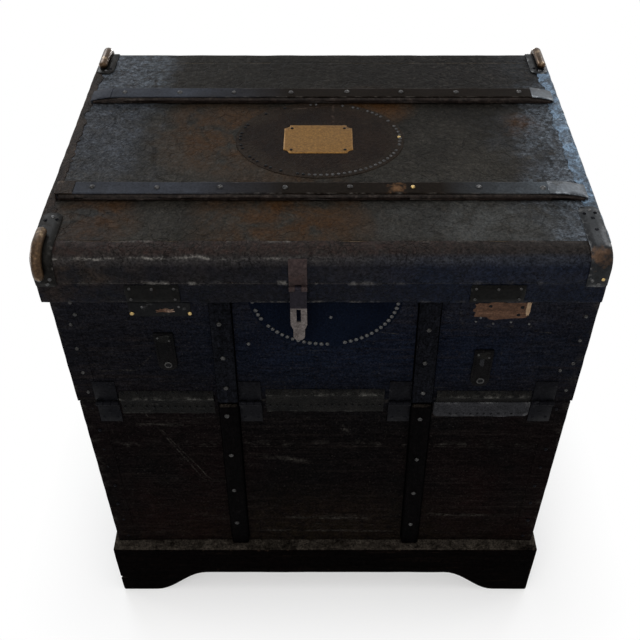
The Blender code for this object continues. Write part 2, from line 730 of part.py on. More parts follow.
def build_handle(side, sign, pivot):
    face = UPPER_HALF + FIT_GAP
    half_y, half_z = HANDLE_PLATE_WIDTH / 2, HANDLE_PLATE_HEIGHT / 2
    low, high = sorted((sign * face, sign * (face + HANDLE_PLATE_THICKNESS)))
    plate = box(
        f"handle_plate_{side}",
        (low, BODY_MIDDLE - half_y, HANDLE_LEVEL - half_z),
        (high, BODY_MIDDLE + half_y, HANDLE_LEVEL + half_z),
        iron,
    )
    ear_outer = BAIL_X + EAR_SIDE / 2
    ear_x = sorted((sign * face, sign * ear_outer))
    for end, along in (("front", -1), ("back", 1)):
        middle = BODY_MIDDLE + along * EAR_SPACING / 2
        ear = box(
            f"ear_{side}_{end}",
            (ear_x[0], middle - EAR_WIDTH / 2, HANDLE_LEVEL - EAR_SIDE / 2),
            (ear_x[1], middle + EAR_WIDTH / 2, HANDLE_LEVEL + EAR_SIDE / 2),
            iron,
        )
        combine(plate, ear, "UNION")
        place = Vector((sign * BAIL_X, middle, HANDLE_LEVEL))
        hole = cylinder(
            f"ear_hole_{side}_{end}", "Y", place, BAIL_RADIUS + RUN_GAP, 2 * EAR_WIDTH, iron
        )
        combine(plate, hole, "DIFFERENCE")
    reach = EAR_SPACING / 2 + EAR_WIDTH / 2
    half_bail = EAR_SPACING / 2 - EAR_WIDTH / 2 - BAIL_SIDE_GAP - BAIL_CORNER
    bottom = HANDLE_LEVEL - BAIL_DROP
    corners = [
        Vector((sign * BAIL_X, BODY_MIDDLE + y, z))
        for y, z in (
            (-reach, HANDLE_LEVEL),
            (-half_bail, HANDLE_LEVEL),
            (-half_bail, bottom),
            (half_bail, bottom),
            (half_bail, HANDLE_LEVEL),
            (reach, HANDLE_LEVEL),
        )
    ]
    path = rounded_path(corners, BAIL_CORNER, CORNER_STEPS)
    rod(f"handle_bail_{side}", path, BAIL_RADIUS, iron, pivot)


clear_scene()
parts = new_collection("travel_trunk")
cutters = new_collection("cutters")

canvas = new_material("waxed_canvas", (0.022, 0.023, 0.027), 0.55, 0.0)
leather = new_material("dark_leather", (0.040, 0.030, 0.026), 0.60, 0.0)
slat_wood = new_material("slat_wood", (0.045, 0.030, 0.022), 0.60, 0.0)
plinth_wood = new_material("plinth_wood", (0.085, 0.045, 0.025), 0.55, 0.0)
pine = new_material("bare_pine", (0.300, 0.200, 0.110), 0.75, 0.0)
iron = new_material("blackened_iron", (0.080, 0.082, 0.085), 0.45, 0.9)
rusty_iron = new_material("rusty_iron", (0.160, 0.085, 0.065), 0.65, 0.5)
bronze = new_material("bronze_rib", (0.300, 0.190, 0.095), 0.45, 0.8)
brass = new_material("brass_plate", (0.520, 0.380, 0.160), 0.40, 0.9)

lid_pivot = new_pivot("lid_pivot", LID_AXIS)
fall_pivot = new_pivot("fall_pivot", FALL_AXIS)
hasp_pivot = new_pivot("hasp_pivot", HASP_AXIS, lid_pivot)

build_plinth()
build_body()
build_fall()
build_hinges()
build_lid()
build_lid_slats()
build_corner_guards()
build_nameplate()
build_hasp()
build_lock_plates()
for handle_side, handle_sign in (("left", -1), ("right", 1)):
    handle_place = (handle_sign * BAIL_X, BODY_MIDDLE, HANDLE_LEVEL)
    handle_pivot = new_pivot(f"handle_pivot_{handle_side}", handle_place)
    build_handle(handle_side, handle_sign, handle_pivot)
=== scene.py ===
import json
import math
import random

import bmesh
import bpy
from mathutils import Matrix, Vector, noise


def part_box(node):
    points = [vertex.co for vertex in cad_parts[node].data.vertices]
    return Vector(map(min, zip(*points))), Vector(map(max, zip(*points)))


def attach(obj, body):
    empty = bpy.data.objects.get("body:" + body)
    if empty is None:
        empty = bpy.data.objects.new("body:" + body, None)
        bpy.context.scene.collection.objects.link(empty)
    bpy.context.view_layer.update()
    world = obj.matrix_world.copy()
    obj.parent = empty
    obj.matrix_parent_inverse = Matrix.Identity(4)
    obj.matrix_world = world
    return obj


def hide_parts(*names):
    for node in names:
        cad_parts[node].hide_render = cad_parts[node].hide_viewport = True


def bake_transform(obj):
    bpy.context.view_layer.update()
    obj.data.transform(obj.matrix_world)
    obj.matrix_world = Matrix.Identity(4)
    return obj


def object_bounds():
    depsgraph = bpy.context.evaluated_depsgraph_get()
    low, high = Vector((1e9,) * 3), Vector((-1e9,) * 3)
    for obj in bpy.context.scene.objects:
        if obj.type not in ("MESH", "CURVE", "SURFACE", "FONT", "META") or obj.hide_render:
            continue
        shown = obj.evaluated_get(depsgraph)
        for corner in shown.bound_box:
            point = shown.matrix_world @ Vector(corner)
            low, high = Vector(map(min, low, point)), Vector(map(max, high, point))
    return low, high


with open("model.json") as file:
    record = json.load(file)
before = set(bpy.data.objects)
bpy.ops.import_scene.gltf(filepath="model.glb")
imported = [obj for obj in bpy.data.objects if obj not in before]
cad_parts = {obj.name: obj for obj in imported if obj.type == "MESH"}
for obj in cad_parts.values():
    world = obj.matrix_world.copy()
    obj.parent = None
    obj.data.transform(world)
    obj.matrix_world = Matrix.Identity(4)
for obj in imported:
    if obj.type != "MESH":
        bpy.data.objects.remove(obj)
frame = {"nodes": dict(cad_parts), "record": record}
cadLow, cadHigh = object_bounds()
scene = bpy.context.scene
chance = random.Random(41)
bodies = frame["record"]["behaviour"]["bodies"]
nodeBody = {node: body for body, members in bodies.items() for node in members}
print("trunk: frame loaded,", len(frame["nodes"]), "nodes")

# directions and levels of the trunk, all read from the frame
up, ahead, behind = Vector((0, 0, 1)), Vector((0, -1, 0)), Vector((0, 1, 0))
leftward, rightward = Vector((-1, 0, 0)), Vector((1, 0, 0))
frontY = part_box("lower_front")[0].y
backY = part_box("back_panel")[1].y
middleY = (frontY + backY) / 2
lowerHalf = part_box("lower_front")[1].x
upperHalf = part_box("fall_panel")[1].x
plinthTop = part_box("plinth_front")[1].z
midZ = (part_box("lower_front")[1].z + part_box("fall_panel")[0].z) / 2
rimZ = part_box("fall_panel")[1].z
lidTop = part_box("lid_top_board")[1].z
lidLeft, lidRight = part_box("lid_left_end")[0].x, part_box("lid_right_end")[1].x
lidFront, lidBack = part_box("lid_front_rail")[0].y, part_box("lid_back_rail")[1].y
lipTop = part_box("lid_front_lip")[1].z
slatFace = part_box("fall_slat_left")[0].y
strapLow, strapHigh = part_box("lid_strap_front")

photoView = {
    "lens": 50.345, "pitch": 43.643, "stand": 0.9612, "height": 1.6531, "sensor": 36, "axisPixel": 325.08,
    "imageSize": 640}
cameraData = bpy.data.cameras.new("photoCamera")
cameraData.sensor_width = photoView["sensor"]
cameraData.lens = photoView["lens"]
cameraData.shift_x = (photoView["imageSize"] / 2 - photoView["axisPixel"]) / photoView["imageSize"]
camera = bpy.data.objects.new("photoCamera", cameraData)
camera.location = (0, frontY - photoView["stand"], photoView["height"])
camera.rotation_euler = (math.radians(90 - photoView["pitch"]), 0, 0)
scene.collection.objects.link(camera)
scene.camera = camera

# the trunk is nearly black, so colours are written as ten-thousandths of linear red, green and blue
colourUnit = 10000


# node helpers
def feed(tree, value, socket):
    if isinstance(value, Field):
        tree.links.new(value.socket, socket)
    elif socket.type == "RGBA":
        socket.default_value = [part / colourUnit for part in value] + [1]
    else:
        socket.default_value = value


def addNode(tree, kind, inputs=None, output=0, **props):
    node = tree.nodes.new("ShaderNode" + kind)
    for prop, value in props.items():
        setattr(node, prop, value)
    for label, value in (inputs or {}).items():
        feed(tree, value, node.inputs[label])
    return Field(tree, node.outputs[output])


def objectPoint(tree):
    return addNode(tree, "TexCoord", output="Object")


def restNormal(tree):
    return addNode(tree, "TexCoord", output="Normal")


# a value that changes over a surface: what is done with it becomes nodes of its tree
class Field:
    def __init__(self, tree, socket):
        self.tree = tree
        self.socket = socket

    def __add__(self, other):
        return self.calc("ADD", other)

    def __sub__(self, other):
        return self.calc("SUBTRACT", other)

    def __mul__(self, other):
        return self.calc("MULTIPLY", other)

    def calc(self, operation, other=0):
        return addNode(self.tree, "Math", {0: self, 1: other}, operation=operation)

    def vector(self, operation, other=(0, 0, 0)):
        output = "Value" if operation in ("DOT_PRODUCT", "LENGTH", "DISTANCE") else "Vector"
        return addNode(self.tree, "VectorMath", {0: self, 1: other}, output, operation=operation)

    def axes(self):
        node = addNode(self.tree, "SeparateXYZ", {"Vector": self}).socket.node
        return [Field(self.tree, socket) for socket in node.outputs]

    def stretched(self, scale):
        return addNode(self.tree, "Mapping", {"Vector": self, "Scale": scale}, "Vector")

    def cloud(self, scale, detail=3, rough=0.55, bend=0, output="Fac"):
        inputs = {"Vector": self, "Scale": scale, "Detail": detail, "Roughness": rough, "Distortion": bend}
        return addNode(self.tree, "TexNoise", inputs, output)

    def cells(self, scale, feature="F1"):
        return addNode(self.tree, "TexVoronoi", {"Vector": self, "Scale": scale}, "Distance", feature=feature)

    def ramp(self, low, high, toLow=0, toHigh=1):
        inputs = {"Value": self, "From Min": low, "From Max": high, "To Min": toLow, "To Max": toHigh}
        return addNode(self.tree, "MapRange", inputs, "Result", clamp=True)

    # a mask of 0 to 1 set to run from low to high
    def span(self, low, high):
        return self.ramp(0, 1, low, high)

    # 1 between low and high, with soft ends
    def band(self, low, high, soft):
        return self.ramp(low - soft, low + soft) * self.ramp(high - soft, high + soft, 1, 0)

    def mix(self, first, second):
        return addNode(self.tree, "Mix", {0: self, 6: first, 7: second}, 2, data_type="RGBA")


def mostOf(fields):
    most = fields[0]
    for field in fields[1:]:
        most = most.calc("MAXIMUM", field)
    return most


# makes a shader group of a function: its arguments are the inputs, and what it returns are the outputs
def shaderGroup(**inputs):
    def build(effect):
        tree = bpy.data.node_groups.new(effect.__name__, "ShaderNodeTree")
        for label, value in inputs.items():
            kind = "NodeSocketVector" if isinstance(value, tuple) else "NodeSocketFloat"
            tree.interface.new_socket(label, in_out="INPUT", socket_type=kind).default_value = value
        given = tree.nodes.new("NodeGroupInput").outputs
        fields = {label: Field(tree, given[label]) for label in inputs}
        if "place" not in fields:
            fields["place"] = objectPoint(tree)
        made = effect(**fields)
        for label in made:
            tree.interface.new_socket(label, in_out="OUTPUT", socket_type="NodeSocketFloat")
        result = tree.nodes.new("NodeGroupOutput").inputs
        for label, field in made.items():
            tree.links.new(field.socket, result[label])
        return tree
    return build


# plain weave: on any face two of the three waves run across each other
@shaderGroup(turns=2400)
def threadWeave(place, turns):
    drift = place.cloud(90, 1, 0.5, output="Color").vector("MULTIPLY", (0.0012, 0.0012, 0.0012))
    bent = place.vector("ADD", drift)
    first, second, third = [(axis * turns).calc("SINE") for axis in bent.axes()]
    return {"height": (first * second + second * third + third * first).ramp(-1.2, 1.2)}


# long thin rubs, run in the direction that the stretch is least
@shaderGroup(stretch=(6, 6, 110), amount=0.5)
def scuffMarks(place, stretch, amount):
    edge = amount * -0.16 + 0.7
    streak = place.stretched(stretch).cloud(1, 7, 0.7, 0.6).ramp(edge, edge + 0.1)
    patch = place.cloud(7, 3).ramp(0.42, 0.62)
    return {"mask": streak * patch * place.cloud(210, 4, 0.65).ramp(0.4, 0.6)}


# one scratch: a thin, broken line between two places
@shaderGroup(place=(0, 0, 0), start=(0, 0, 0), end=(1, 0, 0), width=0.001)
def scratchLine(place, start, end, width):
    shake = place.cloud(40, 3, 0.5, output="Color").vector("SUBTRACT", (0.5, 0.5, 0.5))
    shake = shake.vector("MULTIPLY", (0.006, 0.006, 0.006))
    offset = place.vector("ADD", shake).vector("SUBTRACT", start)
    reach = end.vector("SUBTRACT", start)
    heading = reach.vector("NORMALIZE")
    share = offset.vector("DOT_PRODUCT", heading).calc("DIVIDE", reach.vector("LENGTH"))
    across = offset.vector("CROSS_PRODUCT", heading).vector("LENGTH")
    line = across.ramp(width * 0.35, width, 1, 0) * share.band(0.06, 0.94, 0.06)
    streaky = place.stretched((26, 26, 150)).cloud(1, 5, 0.65).ramp(0.4, 0.56)
    return {"mask": line * place.cloud(130, 4, 0.6).ramp(0.38, 0.58) * streaky}


# uneven ageing: broad clouds, fine mottle and small flecks
@shaderGroup(scale=6)
def ageMottle(place, scale):
    return {"broad": place.cloud(scale, 5, 0.62, 0.4).ramp(0.34, 0.66),
            "fine": place.cloud(scale * 12, 5, 0.6).ramp(0.3, 0.7),
            "fleck": place.cloud(scale * 45, 2, 0.5).ramp(0.66, 0.74)}


# fine cracks of dried leather and wax
@shaderGroup(scale=60)
def crackLines(place, scale):
    drift = place.cloud(28, 4, 0.65, output="Color").vector("MULTIPLY", (0.03, 0.03, 0.03))
    gap = place.vector("ADD", drift).cells(scale, "DISTANCE_TO_EDGE")
    return {"line": gap.ramp(0, 0.09, 1, 0) * place.cloud(17, 4).ramp(0.4, 0.58)}


# dust settles where a face looks up
@shaderGroup(amount=0.5)
def settledDust(place, amount):
    facing = restNormal(place.tree).axes()[2].ramp(0.45, 0.95)
    return {"mask": facing * place.cloud(38, 6, 0.65).ramp(0.3, 0.68) * amount}


# rubbed edges: each mesh keeps its own rub value, broken up by a noise
@shaderGroup(amount=0.5, scale=55)
def edgeRub(place, amount, scale):
    rub = addNode(place.tree, "Attribute", output="Fac", attribute_name="rub")
    start = amount * -0.5 + 0.8
    return {"mask": rub.calc("POWER", 1.6) * place.cloud(scale, 5, 0.62).ramp(start, start + 0.16)}


# timber: long fibres along the axis with the least stretch
@shaderGroup(stretch=(4, 60, 60))
def timberGrain(place, stretch):
    along = place.stretched(stretch)
    return {"grain": along.cloud(1, 6, 0.62, 0.8).ramp(0.32, 0.68),
            "pore": along.cloud(4.5, 3, 0.5).ramp(0.35, 0.6)}


# old metal: rust blooms, rubbed patches and pits
@shaderGroup(rust=0.4, scale=26)
def metalAge(place, rust, scale):
    start = rust * -0.34 + 0.74
    return {"rust": place.cloud(scale, 7, 0.68, 0.3).ramp(start, start + 0.14),
            "rubbed": place.cloud(11, 4).ramp(0.4, 0.66),
            "pits": place.cloud(320, 3, 0.6)}


# a finish in the making: where it lies, its shader, and its colour so far
class Finish:
    def __init__(self, name, specular, roughness=0.6):
        self.material = bpy.data.materials.new(name)
        self.material.use_nodes = True
        self.tree = self.material.node_tree
        self.shader = self.tree.nodes["Principled BSDF"]
        self.shader.inputs["Specular IOR Level"].default_value = specular
        self.shader.inputs["Roughness"].default_value = roughness
        self.place = objectPoint(self.tree)
        self.colour = None

    def use(self, group, **values):
        node = self.tree.nodes.new("ShaderNodeGroup")
        node.node_tree = group
        for label, value in values.items():
            feed(self.tree, value, node.inputs[label])
        fields = [Field(self.tree, socket) for socket in node.outputs]
        return fields if len(fields) > 1 else fields[0]

    # lays a shade over the colour so far, as thickly as the mask says
    def coat(self, mask, shade):
        self.colour = mask.mix(self.colour, shade)

    # fine grit that lightens and darkens the colour
    def grit(self, amount, scale=300, squeeze=(1, 1, 1)):
        speck = self.place.stretched(squeeze).cloud(scale, 3, 0.72).ramp(0.3, 0.7, -1, 1)
        inputs = {0: 1, 6: self.colour, 7: speck * amount + 1}
        self.colour = addNode(self.tree, "Mix", inputs, 2, data_type="RGBA", blend_type="MULTIPLY")

    # scratches on a flat face, each by two points and a width: x and y on the lid, x and z on the front
    def scratches(self, marks, onLid):
        flat = self.place.vector("MULTIPLY", (1, 1, 0) if onLid else (1, 0, 1))
        lines = []
        for startX, startSide, endX, endSide, width in marks:
            start = (startX, startSide, 0) if onLid else (startX, 0, startSide)
            end = (endX, endSide, 0) if onLid else (endX, 0, endSide)
            lines.append(self.use(scratchLine, place=flat, start=start, end=end, width=width))
        return mostOf(lines)

    # joins colour, roughness and relief to the shader
    def close(self, roughness, height, depth):
        bump = addNode(self.tree, "Bump", {"Strength": 0.7, "Distance": depth, "Height": height}, "Normal")
        for label, field in (("Base Color", self.colour), ("Roughness", roughness), ("Normal", bump)):
            feed(self.tree, field, self.shader.inputs[label])
        return self.material


# black waxed canvas of the body: blue-black high up, brown-black low down, rubbed along the boards, and
# painted lighter just under the lid's lip where the lip casts its shadow
bodyCanvasLook = {
    "black": (30, 31, 35), "ink": (18, 16, 18), "blue": (38, 58, 116), "brown": (44, 20, 21),
    "olive": (86, 62, 38), "scuff": (360, 330, 290), "worn": (120, 95, 85), "haze": (100, 100, 128),
    "rim": (100, 104, 138), "pitch": 0.0026, "specular": 0.003, "relief": 0.0007,
    "marks": [(-0.304, 0.539, -0.21, 0.33, 0.0018), (-0.283, 0.496, -0.201, 0.338, 0.0013),
        (-0.1215, 0.4132, -0.0176, 0.3935, 0.0075), (0.0249, 0.4941, 0.0421, 0.4678, 0.006),
        (0.075, 0.7137, 0.1282, 0.7032, 0.0014), (-0.1435, 0.1818, 0.1338, 0.1784, 0.004),
        (-0.2857, 0.6373, -0.2668, 0.662, 0.0016), (-0.3593, 0.6271, -0.2967, 0.6259, 0.0024),
        (0.3107, 0.7137, 0.343, 0.7095, 0.0018), (-0.318, 0.496, -0.225, 0.492, 0.005),
        (0.185, 0.235, 0.305, 0.232, 0.005), (-0.08, 0.225, 0.09, 0.22, 0.006)]}


def bodyCanvasFinish(look):
    finish = Finish("bodyCanvas", look["specular"])
    place = finish.place
    x, y, z = place.axes()
    wide = x.calc("ABSOLUTE")
    broad, fine, fleck = finish.use(ageMottle, scale=6.5)
    finish.colour = z.ramp(midZ - 0.1, midZ).mix(look["ink"], look["black"])
    reddish = z.ramp(0.2, 0.66, 1, 0.25) * wide.ramp(0.08, 0.26, 0.45, 1)
    finish.coat(broad * reddish, look["brown"])
    besideOval = (x - 0.11).calc("ABSOLUTE").ramp(0.15, 0.4, 1, 0.2)
    finish.coat(z.ramp(midZ - 0.02, midZ + 0.09) * besideOval, look["blue"])
    ends = wide.ramp(0.16, 0.32, 0, 0.42) * z.ramp(midZ, midZ + 0.05)
    finish.coat(ends * fine, look["haze"])
    # painted light: lighter just under the lid's lip, filling in the shadow that the lip casts
    paintedLightUnderLip = z.ramp(rimZ - 0.085, rimZ - 0.02, 0, 0.85) * fine.span(0.5, 1)
    finish.coat(paintedLightUnderLip * x.ramp(-0.05, 0.2, 0.55, 1), look["rim"])
    nearFloor = z.ramp(0.16, 0.34, 1, 0) * wide.ramp(0.05, 0.3, 1, 0.3)
    finish.coat(nearFloor * fine, look["olive"])
    weave = finish.use(threadWeave, turns=math.tau / look["pitch"])
    finish.coat(weave.span(0, 0.1), look["worn"])
    onFront = y.ramp(frontY + 0.001, frontY + 0.003, 1, 0)
    scuffs = finish.use(scuffMarks, stretch=(6, 6, 95), amount=0.85)
    finish.coat(scuffs * onFront.span(0.6, 0.34), look["scuff"])
    streaks = place.stretched((5, 5, 150)).cloud(1, 6, 0.68, 0.5).ramp(0.5, 0.68)
    finish.coat(streaks * place.cloud(9, 4).ramp(0.36, 0.6) * 0.55, look["worn"])
    slant = finish.use(scuffMarks, stretch=(44, 44, 30), amount=0.6)
    finish.coat(slant * onFront.span(0.8, 0.3), look["worn"])
    finish.coat(place.cloud(230, 4, 0.66).ramp(0.57, 0.66, 0, 0.5), look["worn"])
    finish.coat(fleck * 0.3, look["scuff"])
    finish.coat(finish.scratches(look["marks"], onLid=False) * onFront * 0.6, look["scuff"])
    finish.coat(finish.use(edgeRub, amount=0.6, scale=48) * 0.5, look["scuff"])
    finish.grit(0.7)
    finish.grit(0.42, 60, (0.7, 0.7, 3))
    return finish.close(fine.span(0.5, 0.74), weave * 0.45 + fine * 0.8, look["relief"])


# the lid's canvas is bleached grey-brown, with a pebbled, glossier left end and olive stains (x, y, reach),
# painted shade towards the back, and painted reflections: a bluish sheen on both ends, a pale haze at the
# front right and glare along the right edge and at the back left
lidCanvasLook = {
    "grey": (172, 157, 128), "dark": (41, 36, 28), "olive": (375, 200, 84), "chill": (360, 410, 510),
    "haze": (400, 415, 410), "glare": (960, 1140, 1360), "stain": (235, 100, 30), "pebble": (360, 320, 275),
    "scuff": (600, 530, 450), "crease": (30, 27, 26), "pitch": 0.0026, "specular": 0.035, "relief": 0.0019,
    "creases": [(-0.2707, -0.0171, -0.2589, -0.1137, 0.006), (0.3446, -0.0025, 0.352, -0.1005, 0.005)],
    "stains": [(-0.165, 0.01, 0.105), (-0.06, -0.215, 0.12), (0.085, 0.105, 0.06), (-0.33, -0.215, 0.06),
        (0.318, 0.04, 0.035)]}


def lidCanvasFinish(look):
    finish = Finish("lidCanvas", look["specular"])
    place = finish.place
    x, y, z = place.axes()
    onTop = restNormal(finish.tree).axes()[2].ramp(0.3, 0.7)
    broad, fine, fleck = finish.use(ageMottle, scale=7)
    finish.colour = broad.mix(look["dark"], look["grey"])
    # painted shade: the top is darker towards the back, and more so at the back right, where it reflects less
    # light; the crease colour serves as that shade here
    finish.coat(y.ramp(-0.06, 0.2, 0, 0.8), look["dark"])
    finish.coat(x.ramp(0, 0.2) * y.ramp(0.06, 0.2, 0, 0.9), look["crease"])
    flat = place.vector("MULTIPLY", (1, 1, 0))
    spots = []
    for spotX, spotY, reach in look["stains"]:
        away = flat.vector("DISTANCE", (spotX, spotY, 0))
        spots.append(away.ramp(reach * 0.35, reach * 1.25, 1, 0))
    stained = mostOf(spots) * place.cloud(16, 6, 0.65, 0.5).ramp(0.38, 0.62) * 0.85
    finish.coat(stained, look["olive"])
    frayed = x + place.cloud(20, 5, 0.65).ramp(0.2, 0.8, -0.06, 0.06)
    leftEnd = frayed.ramp(-0.33, -0.26, 1, 0) * y.ramp(-0.16, -0.06, 0.15, 1)
    rightEnd = frayed.ramp(0.27, 0.37) * y.ramp(0.02, 0.16, 1, 0.15)
    glossy = mostOf([leftEnd, rightEnd]) * onTop
    # painted reflections on the top only: a pale haze at the front right and a bluish sheen on the glossier
    # ends
    haze = frayed.ramp(0.02, 0.22) * y.ramp(-0.1, -0.18, 0, 1.15)
    blotches = place.cloud(30, 7, 0.68).ramp(0.36, 0.6, 0.2, 0.78) * onTop
    finish.coat(haze * blotches, look["haze"])
    finish.coat(glossy * blotches, look["chill"])
    # painted reflection on the top only: glare along the right edge and at the back left
    rightGlare = frayed.ramp(0.308, 0.385) * y.ramp(0.1, 0.2, 1, 0.15)
    backGlare = x.ramp(-0.262, -0.29, 0, 0.45) * y.ramp(0.06, 0.16)
    flakes = place.cloud(85, 6, 0.7).ramp(0.4, 0.58)
    finish.coat(mostOf([rightGlare, backGlare]) * onTop * flakes, look["glare"])
    grains = place.cloud(130, 3, 0.6).ramp(0.52, 0.7)
    finish.coat(grains * broad.span(0.15, 0.65), look["pebble"])
    speckle = place.cloud(360, 3, 0.6)
    finish.coat(speckle.ramp(0.52, 0.68, 0, 0.26), look["pebble"])
    finish.coat(speckle.ramp(0.46, 0.34, 0, 0.5), look["crease"])
    weave = finish.use(threadWeave, turns=math.tau / look["pitch"])
    finish.coat(weave * 0.05, look["scuff"])
    finish.coat(finish.use(scuffMarks, stretch=(90, 9, 9), amount=0.25) * 0.4, look["scuff"])
    finish.coat(fleck * 0.28, look["scuff"])
    creased = finish.scratches(look["creases"], onLid=True)
    finish.coat(creased * 0.7, look["crease"])
    cracked = finish.use(crackLines, scale=46)
    finish.coat(cracked * 0.4, look["crease"])
    finish.coat(stained, look["stain"])
    finish.grit(0.55)
    finish.grit(glossy * 0.75 + 0.15, 190)
    pebble = place.cloud(150, 2, 0.5)
    wrinkle = place.cloud(62, 6, 0.68, 1.2)
    height = speckle * 0.3 + fine * 0.6 + pebble * (glossy + 0.35) + wrinkle * (glossy * 3.2 + 0.5)
    height = height - creased - cracked * 0.7
    return finish.close(fine.span(0.48, 0.68) - glossy * 0.14, height, look["relief"])


# leather of the rolled front edge: red-brown on top, worn pale along the bend, with a painted sheen on the
# bend, blue-black below
rollLook = {
    "black": (37, 42, 68), "blue": (50, 80, 168), "red": (185, 105, 88), "pale": (1900, 1800, 1650),
    "grey": (125, 108, 98), "brown": (250, 165, 110), "crack": (16, 14, 15), "sheen": (290, 265, 255),
    "coldSheen": (235, 255, 310), "lip": (14, 20, 46), "specular": 0.032, "relief": 0.0016}


def rollFinish(look):
    finish = Finish("rollLeather", look["specular"])
    place = finish.place
    x, y, z = place.axes()
    tilt = restNormal(finish.tree).axes()[2]
    broad, fine, fleck = finish.use(ageMottle, scale=9)
    finish.colour = x.ramp(-0.1, 0.22).mix(look["black"], look["blue"])
    greyed = z.ramp(lipTop - 0.004, lipTop + 0.006, 0.25, 0.55) * x.ramp(-0.08, 0.18, 1, 0.35)
    finish.coat(broad * greyed, look["grey"])
    brownEnd = x.ramp(-0.24, -0.39, 0.12, 1) * place.cloud(26, 6, 0.66).ramp(0.42, 0.6)
    finish.coat(brownEnd * 0.8, look["brown"])
    redBand = x.ramp(0.05, 0.3, 0, 0.8).mix(fine.mix(look["red"], look["grey"]), look["grey"])
    finish.coat(tilt.ramp(0.62, 0.86), redBand)
    # painted sheen: a pale band where the roll bends from the top to the front, bluer on the right
    bendSheen = x.ramp(0, 0.25).mix(look["sheen"], look["coldSheen"])
    finish.coat(tilt.band(0.36, 0.78, 0.2) * fine.span(0.4, 0.85), bendSheen)
    finish.coat(z.ramp(lipTop - 0.006, lipTop + 0.001, 0.48, 0), look["lip"])
    wander = tilt + place.stretched((14, 3, 3)).cloud(1, 4).ramp(0.2, 0.8, -0.16, 0.16)
    bendLine = wander.band(0.61, 0.71, 0.045) * x.ramp(0.03, -0.17)
    broken = place.stretched((34, 90, 90)).cloud(1, 5, 0.65).ramp(0.46, 0.6)
    broken = broken * place.cloud(170, 5, 0.7).ramp(0.36, 0.54)
    finish.coat(bendLine * broken * 0.72, look["pale"])
    finish.coat(finish.use(scuffMarks, stretch=(14, 60, 110), amount=0.6) * 0.15, look["pale"])
    cracked = finish.use(crackLines, scale=62)
    finish.coat(cracked * 0.45, look["crack"])
    seam = (x + 0.12).calc("ABSOLUTE").ramp(0.08, 0.2, 0.6, 0.16)
    finish.coat(finish.use(edgeRub, amount=0.55, scale=40) * seam, look["pale"])
    finish.coat(fleck * 0.25, look["grey"])
    finish.grit(0.75)
    finish.grit(0.35, 120)
    crease = place.stretched((130, 40, 40)).cloud(1, 4, 0.6)
    wrinkle = place.cloud(58, 6, 0.68, 1.2)
    return finish.close(fine.span(0.4, 0.62), crease + fine * 0.6 + wrinkle * 1.4 - cracked, look["relief"])


# leather strips and patches, each with its own tint
leatherBase = {"patch": 12, "scuffs": 0.45, "rub": 0.6, "roughness": (0.4, 0.66), "grain": 0.0005}


def leatherFinish(name, **look):
    look = {**leatherBase, **look}
    finish = Finish(name, look["specular"])
    place = finish.place
    broad, fine, fleck = finish.use(ageMottle, scale=look["patch"])
    finish.colour = broad.mix(look["dark"], look["light"])
    finish.coat(fleck * 0.3, look["worn"])
    finish.coat(finish.use(scuffMarks, stretch=look["stretch"], amount=look["scuffs"]) * 0.8, look["worn"])
    finish.coat(finish.use(edgeRub, amount=look["rub"], scale=70) * 0.85, look["worn"])
    height = place.cells(420) * 0.5 + fine
    if "wrinkle" in look:
        folds = place.cloud(look["wrinkle"], 5, 0.66, 1.6)
        finish.coat(folds.ramp(0.52, 0.4, 0, 0.85), look["dark"])
        height = height + folds * 3
    if "crackle" in look:
        finish.coat(finish.use(crackLines, scale=look["crackle"]) * 0.75, look["dark"])
    if "fade" in look:  # towards the rim of an oval the tint of the canvas comes through
        middle, shrink, tint = look["fade"]
        away = place.vector("SUBTRACT", middle).vector("MULTIPLY", shrink).vector("LENGTH")
        away = away + place.cloud(34, 6, 0.68).ramp(0.25, 0.75, -0.3, 0.3)
        finish.coat(away.ramp(0.72, 1.1, 0, 0.85), tint)
    if "cracks" in look:
        finish.coat(finish.scratches(look["cracks"], onLid=True), look["worn"])
    finish.grit(0.55)
    return finish.close(fine.span(*look["roughness"]), height, look["grain"])


# timber with paint or stain, dust and rubbed edges, the grain upright unless the stretch says otherwise
timberBase = {
    "dust": (600, 500, 400), "dustAmount": 0.5, "stretch": (110, 110, 7), "patch": 9, "scuffs": 0.45,
    "roughness": (0.45, 0.68), "relief": 0.0005, "grit": (0.95, 0.55)}


def timberFinish(name, **look):
    look = {**timberBase, **look}
    finish = Finish(name, look["specular"])
    grain, pore = finish.use(timberGrain, stretch=look["stretch"])
    broad, fine, fleck = finish.use(ageMottle, scale=look["patch"])
    finish.colour = grain.mix(look["dark"], look["light"])
    finish.coat(pore * 0.3, look["pore"])
    finish.coat(broad * 0.35, look["dark"])
    finish.coat(finish.use(scuffMarks, stretch=look["stretch"], amount=look["scuffs"]) * 0.55, look["worn"])
    finish.coat(finish.use(edgeRub, amount=look["rub"], scale=60), look["worn"])
    finish.coat(finish.use(settledDust, amount=look["dustAmount"]), look["dust"])
    fineGrit, coarseGrit = look["grit"]
    finish.grit(fineGrit)
    finish.grit(coarseGrit, 110)
    return finish.close(fine.span(*look["roughness"]), grain + pore * 0.6, look["relief"])


# iron, bronze and brass: rust or tarnish over bare metal, pits, polish where hands rubbed, and painted sheen
# over given spans of x
metalBase = {
    "rust": 0.45, "bloom": 30, "cover": 0.8, "rub": 0.4, "metallic": 0.25, "roughness": (0.4, 0.62),
    "relief": 0.0004, "polished": []}


